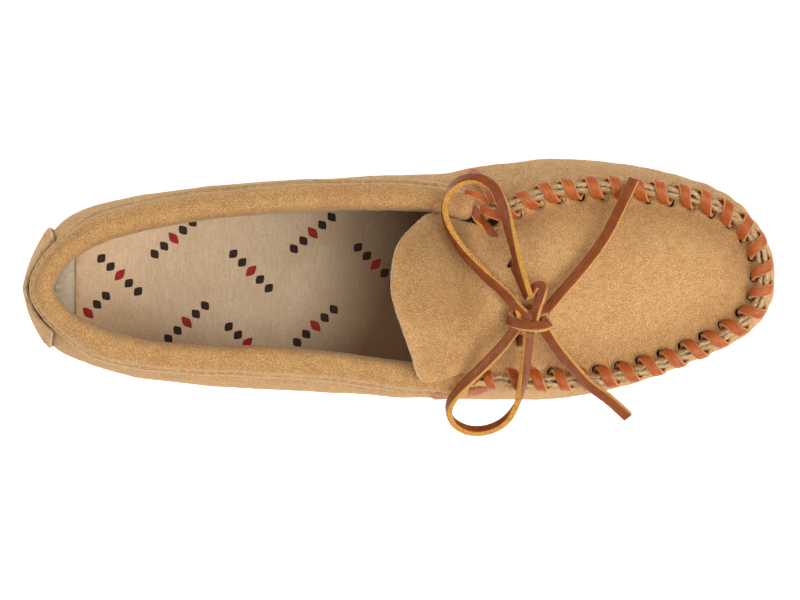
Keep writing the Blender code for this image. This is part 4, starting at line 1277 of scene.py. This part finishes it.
def make_collar():
    """The soft rolled cuff round the opening, with rounded front ends."""
    columns, rows = 330, 34
    places = np.linspace(LATERAL_COLLAR_END, MEDIAL_COLLAR_END, columns)
    round_section = np.linspace(0.0, len(COLLAR_PROFILE) - 1, rows)
    steps = run_lengths(top_line(places))
    from_end = np.minimum(steps, steps[-1] - steps)
    close = np.sqrt(np.clip(1.0 - (1.0 - np.clip(from_end / 5.0, 0.0, 1.0)) ** 2, 0.0, 1.0))
    place, steps, close = np.tile(places, rows), np.tile(steps, rows), np.tile(close, rows)
    out, up = np.repeat(catmull(COLLAR_PROFILE, round_section), columns, 0).T
    row = np.repeat(round_section, columns)
    size = 0.52 + 0.48 * close
    centre_out, centre_up = 0.4, 0.2
    out = np.where(out > 0.0, out * heel_narrowing(place), out)
    above = up > -3.0
    out = np.where(above, centre_out + (out - centre_out) * size, out * (0.4 + 0.6 * size))
    up = np.where(above, centre_up + (up - centre_up) * size, up)
    points = collar_point(place, out, up)
    away = unit(points - collar_point(place, np.full(len(place), centre_out), np.zeros(len(place))))
    wave = 0.28 * noise(points, 13.0, 51) + 0.12 * noise(points, 4.5, 52)
    heel = smooth_step(-95.0, -120.0, points[:, 0])
    folds = np.sin(steps / 2.1 + 2.0 * line_noise(steps, 9.0, 53))
    wave = wave + 0.10 * folds * (0.35 + 0.65 * heel) * smooth_step(2.5, -3.0, out)
    groove, flare = hump(row, 3.0, 0.24), smooth_step(1.0, 0.0, row) * close
    points = points + away * (wave - 0.45 * groove)[:, None]
    points = points + outward(top_line, place) * (0.5 * flare)[:, None]
    edge = steps[:columns]
    points[:columns, 2] += 0.30 * line_noise(edge, 7.0, 54) + 0.12 * line_noise(edge, 1.8, 55)
    made = make_sheet("collar_leather", (points, grid_faces(rows, columns)), COLLAR_THICK, 0.14, 23,
                      [SUEDE_COLLAR, SUEDE_INSIDE, PALE_EDGE], raw_faces=columns - 1)
    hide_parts("collar")
    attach(made, "shoe")


make_collar()


def heel_grid(half_span, low, high, depth, columns, rows):
    places = np.tile(HEEL_STATION + half_span * np.linspace(-1, 1, columns), rows)
    heights = np.repeat(np.linspace(low, high, rows), columns)
    return places, heights, behind_wall(places, heights, np.full(len(places), depth))


TAB_HALF_SPAN = 1.15               # in stations


def make_heel_tab():
    """The panel sewn up the back of the heel, with a thick raw edge that stands off the wall."""
    columns, rows = 90, 46
    places, heights, points = heel_grid(TAB_HALF_SPAN, 3.0, 45.0, -GAP - TAB_THICK, columns, rows)
    across = (places - HEEL_STATION) / TAB_HALF_SPAN
    off = 1.1 * smooth_step(28.0, 45.0, heights) * (1.0 - 0.5 * across ** 2)
    off = off * (1.0 + 0.25 * noise(points, 9.0, 61))
    off = off + 0.5 * hump(across, 0.0, 0.10)
    off = off + 0.22 * noise(points, 12.0, 62) - 0.2 * smooth_step(0.75, 1.0, np.abs(across))
    points = points + wall_normal(places, heights) * off[:, None]
    made = make_sheet("heel_tab_leather", (points, grid_faces(rows, columns)), TAB_THICK - 0.5, 0.18, 33,
                      [SUEDE_WALL, SUEDE_INSIDE, RAW_EDGE])
    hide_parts("heel_tab")
    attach(made, "shoe")


make_heel_tab()


def make_heel_lining():
    """The cream lining inside the heel, slightly rucked."""
    columns, rows = 90, 30
    depth = BOTTOM_THICK + HEEL_GAP + COUNTER_THICK + HEEL_GAP
    places, heights, points = heel_grid(2.9, 9.0, 43.0, depth, columns, rows)
    ruck = 0.22 * np.sin(places * 9.0 + heights * 0.12) * smooth_step(9.0, 20.0, heights)
    ruck = 0.35 * np.abs(noise(points, 11.0, 71)) + np.abs(ruck)
    points = points - wall_normal(places, heights) * ruck[:, None]
    made = make_sheet("heel_lining_cloth_piece", (points, grid_faces(rows, columns)), LINING_THICK, 0.05, 43,
                      [LINING] * 3)
    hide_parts("heel_lining")
    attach(made, "shoe")


make_heel_lining()

# ---------------------------------------------------------------- insole

COVER_TOP, COVER_LIFT = 6.5, 1.3
FOAM_TOP, FOAM_LIFT = 5.2, 0.9
INSOLE_INSET = 9.0
COVER_REAR, FOAM_REAR = -123.0, -131.0


def insole_outline(rear):
    """A loop inside the wall's widest line, cut straight across at the rear."""
    places = np.linspace(0, len(STATIONS), 220, endpoint=False)
    spots = widest(places) - outward(widest, places) * INSOLE_INSET
    keep = spots[:, 0] > rear
    spots, places = spots[keep, :2], places[keep]
    split = int(np.argmax(np.diff(places))) + 1
    cut = np.linspace(spots[split - 1], spots[split], 14)[1:-1]
    cut[:, 0] = rear
    return np.vstack([spots[:split], cut, spots[split:]])


def insole_height(plan, outline, base, lift):
    at = np.hstack([plan, np.zeros((len(plan), 1))])
    edge = smooth_step(9.0, 0.0, gaps(plan, outline).min(1)) * smooth_step(-121.0, -112.0, plan[:, 0])
    tread = -0.25 * np.exp(-((plan[:, 0] + 85.0) / 24.0) ** 2 - (plan[:, 1] / 17.0) ** 2)
    return base + lift * edge + tread + 0.10 * noise(at, 15.0, 81) + 0.05 * noise(at, 5.0, 82)


def make_pad(name, material, outline, spacing, top, lift, thick, rough, seed):
    plan, tris = fill_plan(outline, [], spacing)
    points = np.hstack([plan, insole_height(plan, outline, top, lift)[:, None]])
    return make_sheet(name, (points, corner_table([tris])), thick, rough, seed, [material] * 3)


def make_insole():
    """The cloth cover with its print, over a foam pad that runs on under the heel."""
    outline = insole_outline(COVER_REAR)
    cover = make_pad("insole_cover_cloth", INSOLE, outline, 3.0, COVER_TOP, COVER_LIFT, 0.9, 0.04, 53)
    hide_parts("insole_cover")
    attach(cover, "shoe")
    foam = make_pad("insole_foam_pad", FOAM, insole_outline(FOAM_REAR), 4.0, FOAM_TOP, FOAM_LIFT,
                    2.8, 0.10, 63)
    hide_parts("insole_foam")
    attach(foam, "shoe")
    make_print(outline)


# Printed motifs on the insole: x, y of the middle and turn in degrees.
MOTIFS = [(-106.5, 2.0, -42.0), (-86.0, 16.0, 40.0), (-56.5, 3.5, -44.0), (-81.0, -16.0, 42.0),
          (-33.0, 18.0, 40.0), (-9.0, 6.0, -44.0), (-32.0, -17.4, 42.0), (-118.5, -12.5, 44.0),
          (-58.0, -24.0, -42.0), (12.0, -14.0, 42.0), (18.0, 20.0, -42.0), (44.0, 2.0, 42.0)]
LOZENGES, LOZENGE_STEP, LOZENGE_CORNERS = 5, 4.7, 16
PRINT_LIFT = 0.06


def lozenge(half_along, half_across):
    """A ring round a soft-cornered lozenge."""
    angle = 2 * math.pi * np.arange(LOZENGE_CORNERS) / LOZENGE_CORNERS
    c, s = np.cos(angle), np.sin(angle)
    reach = 1.0 / (np.abs(c) ** 1.25 + np.abs(s) ** 1.25) ** 0.8
    return np.stack([half_along * reach * c, half_across * reach * s], 1)


def make_print(outline):
    """Rows of plain lozenges, four dark and one red, printed on the cover."""
    points, faces, slots = [], [], []
    for x, y, turn in MOTIFS:
        c, s = math.cos(math.radians(turn)), math.sin(math.radians(turn))
        for index in range(LOZENGES):
            red = index == LOZENGES // 2
            ring = lozenge(1.7, 2.9) if red else lozenge(1.75, 2.2)
            ring = ring + ((index - LOZENGES // 2) * LOZENGE_STEP, 0.0)
            ring = ring @ np.array([(c, s), (-s, c)]) + (x, y)
            if ring[:, 0].min() < COVER_REAR + 0.6 or not inside_loops(ring, [outline]).all():
                continue
            height = insole_height(ring, outline, COVER_TOP, COVER_LIFT) + PRINT_LIFT
            first, middle = len(points), len(points) + LOZENGE_CORNERS
            points += np.hstack([ring, height[:, None]]).tolist() + [(*ring.mean(0), height.mean())]
            faces += [(first + step, first + (step + 1) % LOZENGE_CORNERS, middle)
                      for step in range(LOZENGE_CORNERS)]
            slots += [int(red)] * LOZENGE_CORNERS
    made = make_mesh("insole_print", points, faces, [DARK_INK, RED_INK], slots, sharp=45.0)
    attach(made, "shoe")


make_insole()

# ---------------------------------------------------------------- sewing

STITCH_LENGTH, STITCH_GAP = 2.6, 1.0


def stitches(name, route, normals, radius):
    """Separate thread stitches laid along a route, each arching between its two holes."""
    steps = run_lengths(route)
    around, rings = 8, 7
    turn = np.linspace(0.0, 2 * math.pi, around, endpoint=False)
    arch = np.sin(np.linspace(0.0, math.pi, rings)) ** 0.5
    fat = (radius * (0.75 + 0.25 * arch))[:, None]
    tube = capped_tube(rings, around)
    points, faces = [], []
    for start in np.arange(0.3, steps[-1] - STITCH_LENGTH, STITCH_LENGTH + STITCH_GAP):
        at = np.linspace(start, start + STITCH_LENGTH, rings)
        centre = np.stack([np.interp(at, steps, column) for column in route.T], 1)
        facing = unit(np.stack([np.interp(at, steps, column) for column in normals.T], 1))
        centre = centre + facing * (arch * 0.30 - 0.26)[:, None]
        side = np.cross(unit(np.gradient(centre, axis=0)), facing)
        ring = (centre[:, None] + side[:, None] * (fat * np.cos(turn))[..., None]
                + facing[:, None] * (fat * np.sin(turn))[..., None])
        faces += [[corner + len(points) * rings * around for corner in face] for face in tube]
        points.append(ring.reshape(-1, 3))
    return make_mesh(name, np.vstack(points), faces, [THREAD], sharp=45.0)


def make_threads():
    places = np.linspace(LATERAL_COLLAR_END + 0.1, MEDIAL_COLLAR_END - 0.1, 500)
    route = collar_point(places, 6.15 * heel_narrowing(places), np.full(500, -1.6))
    made = stitches("collar_thread_stitches", route, outward(top_line, places), 0.24)
    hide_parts("collar_thread")
    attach(made, "shoe")
    low, high, half = 8.0, 41.5, 1.0
    rise, over = np.linspace(low, high, 40), np.linspace(-half, half, 60)[1:-1]
    place = np.concatenate([np.full(40, -half), over, np.full(40, half)]) + HEEL_STATION
    height = np.concatenate([rise, np.full(len(over), high), rise[::-1]])
    route = behind_wall(place, height, np.full(len(place), -GAP - TAB_THICK + 0.1))
    made = stitches("heel_tab_thread_stitches", route, wall_normal(place, height), 0.26)
    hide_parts("heel_tab_thread")
    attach(made, "shoe")


make_threads()

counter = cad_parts["heel_counter"]
counter.data.materials.clear()
counter.data.materials.append(FIBRE)
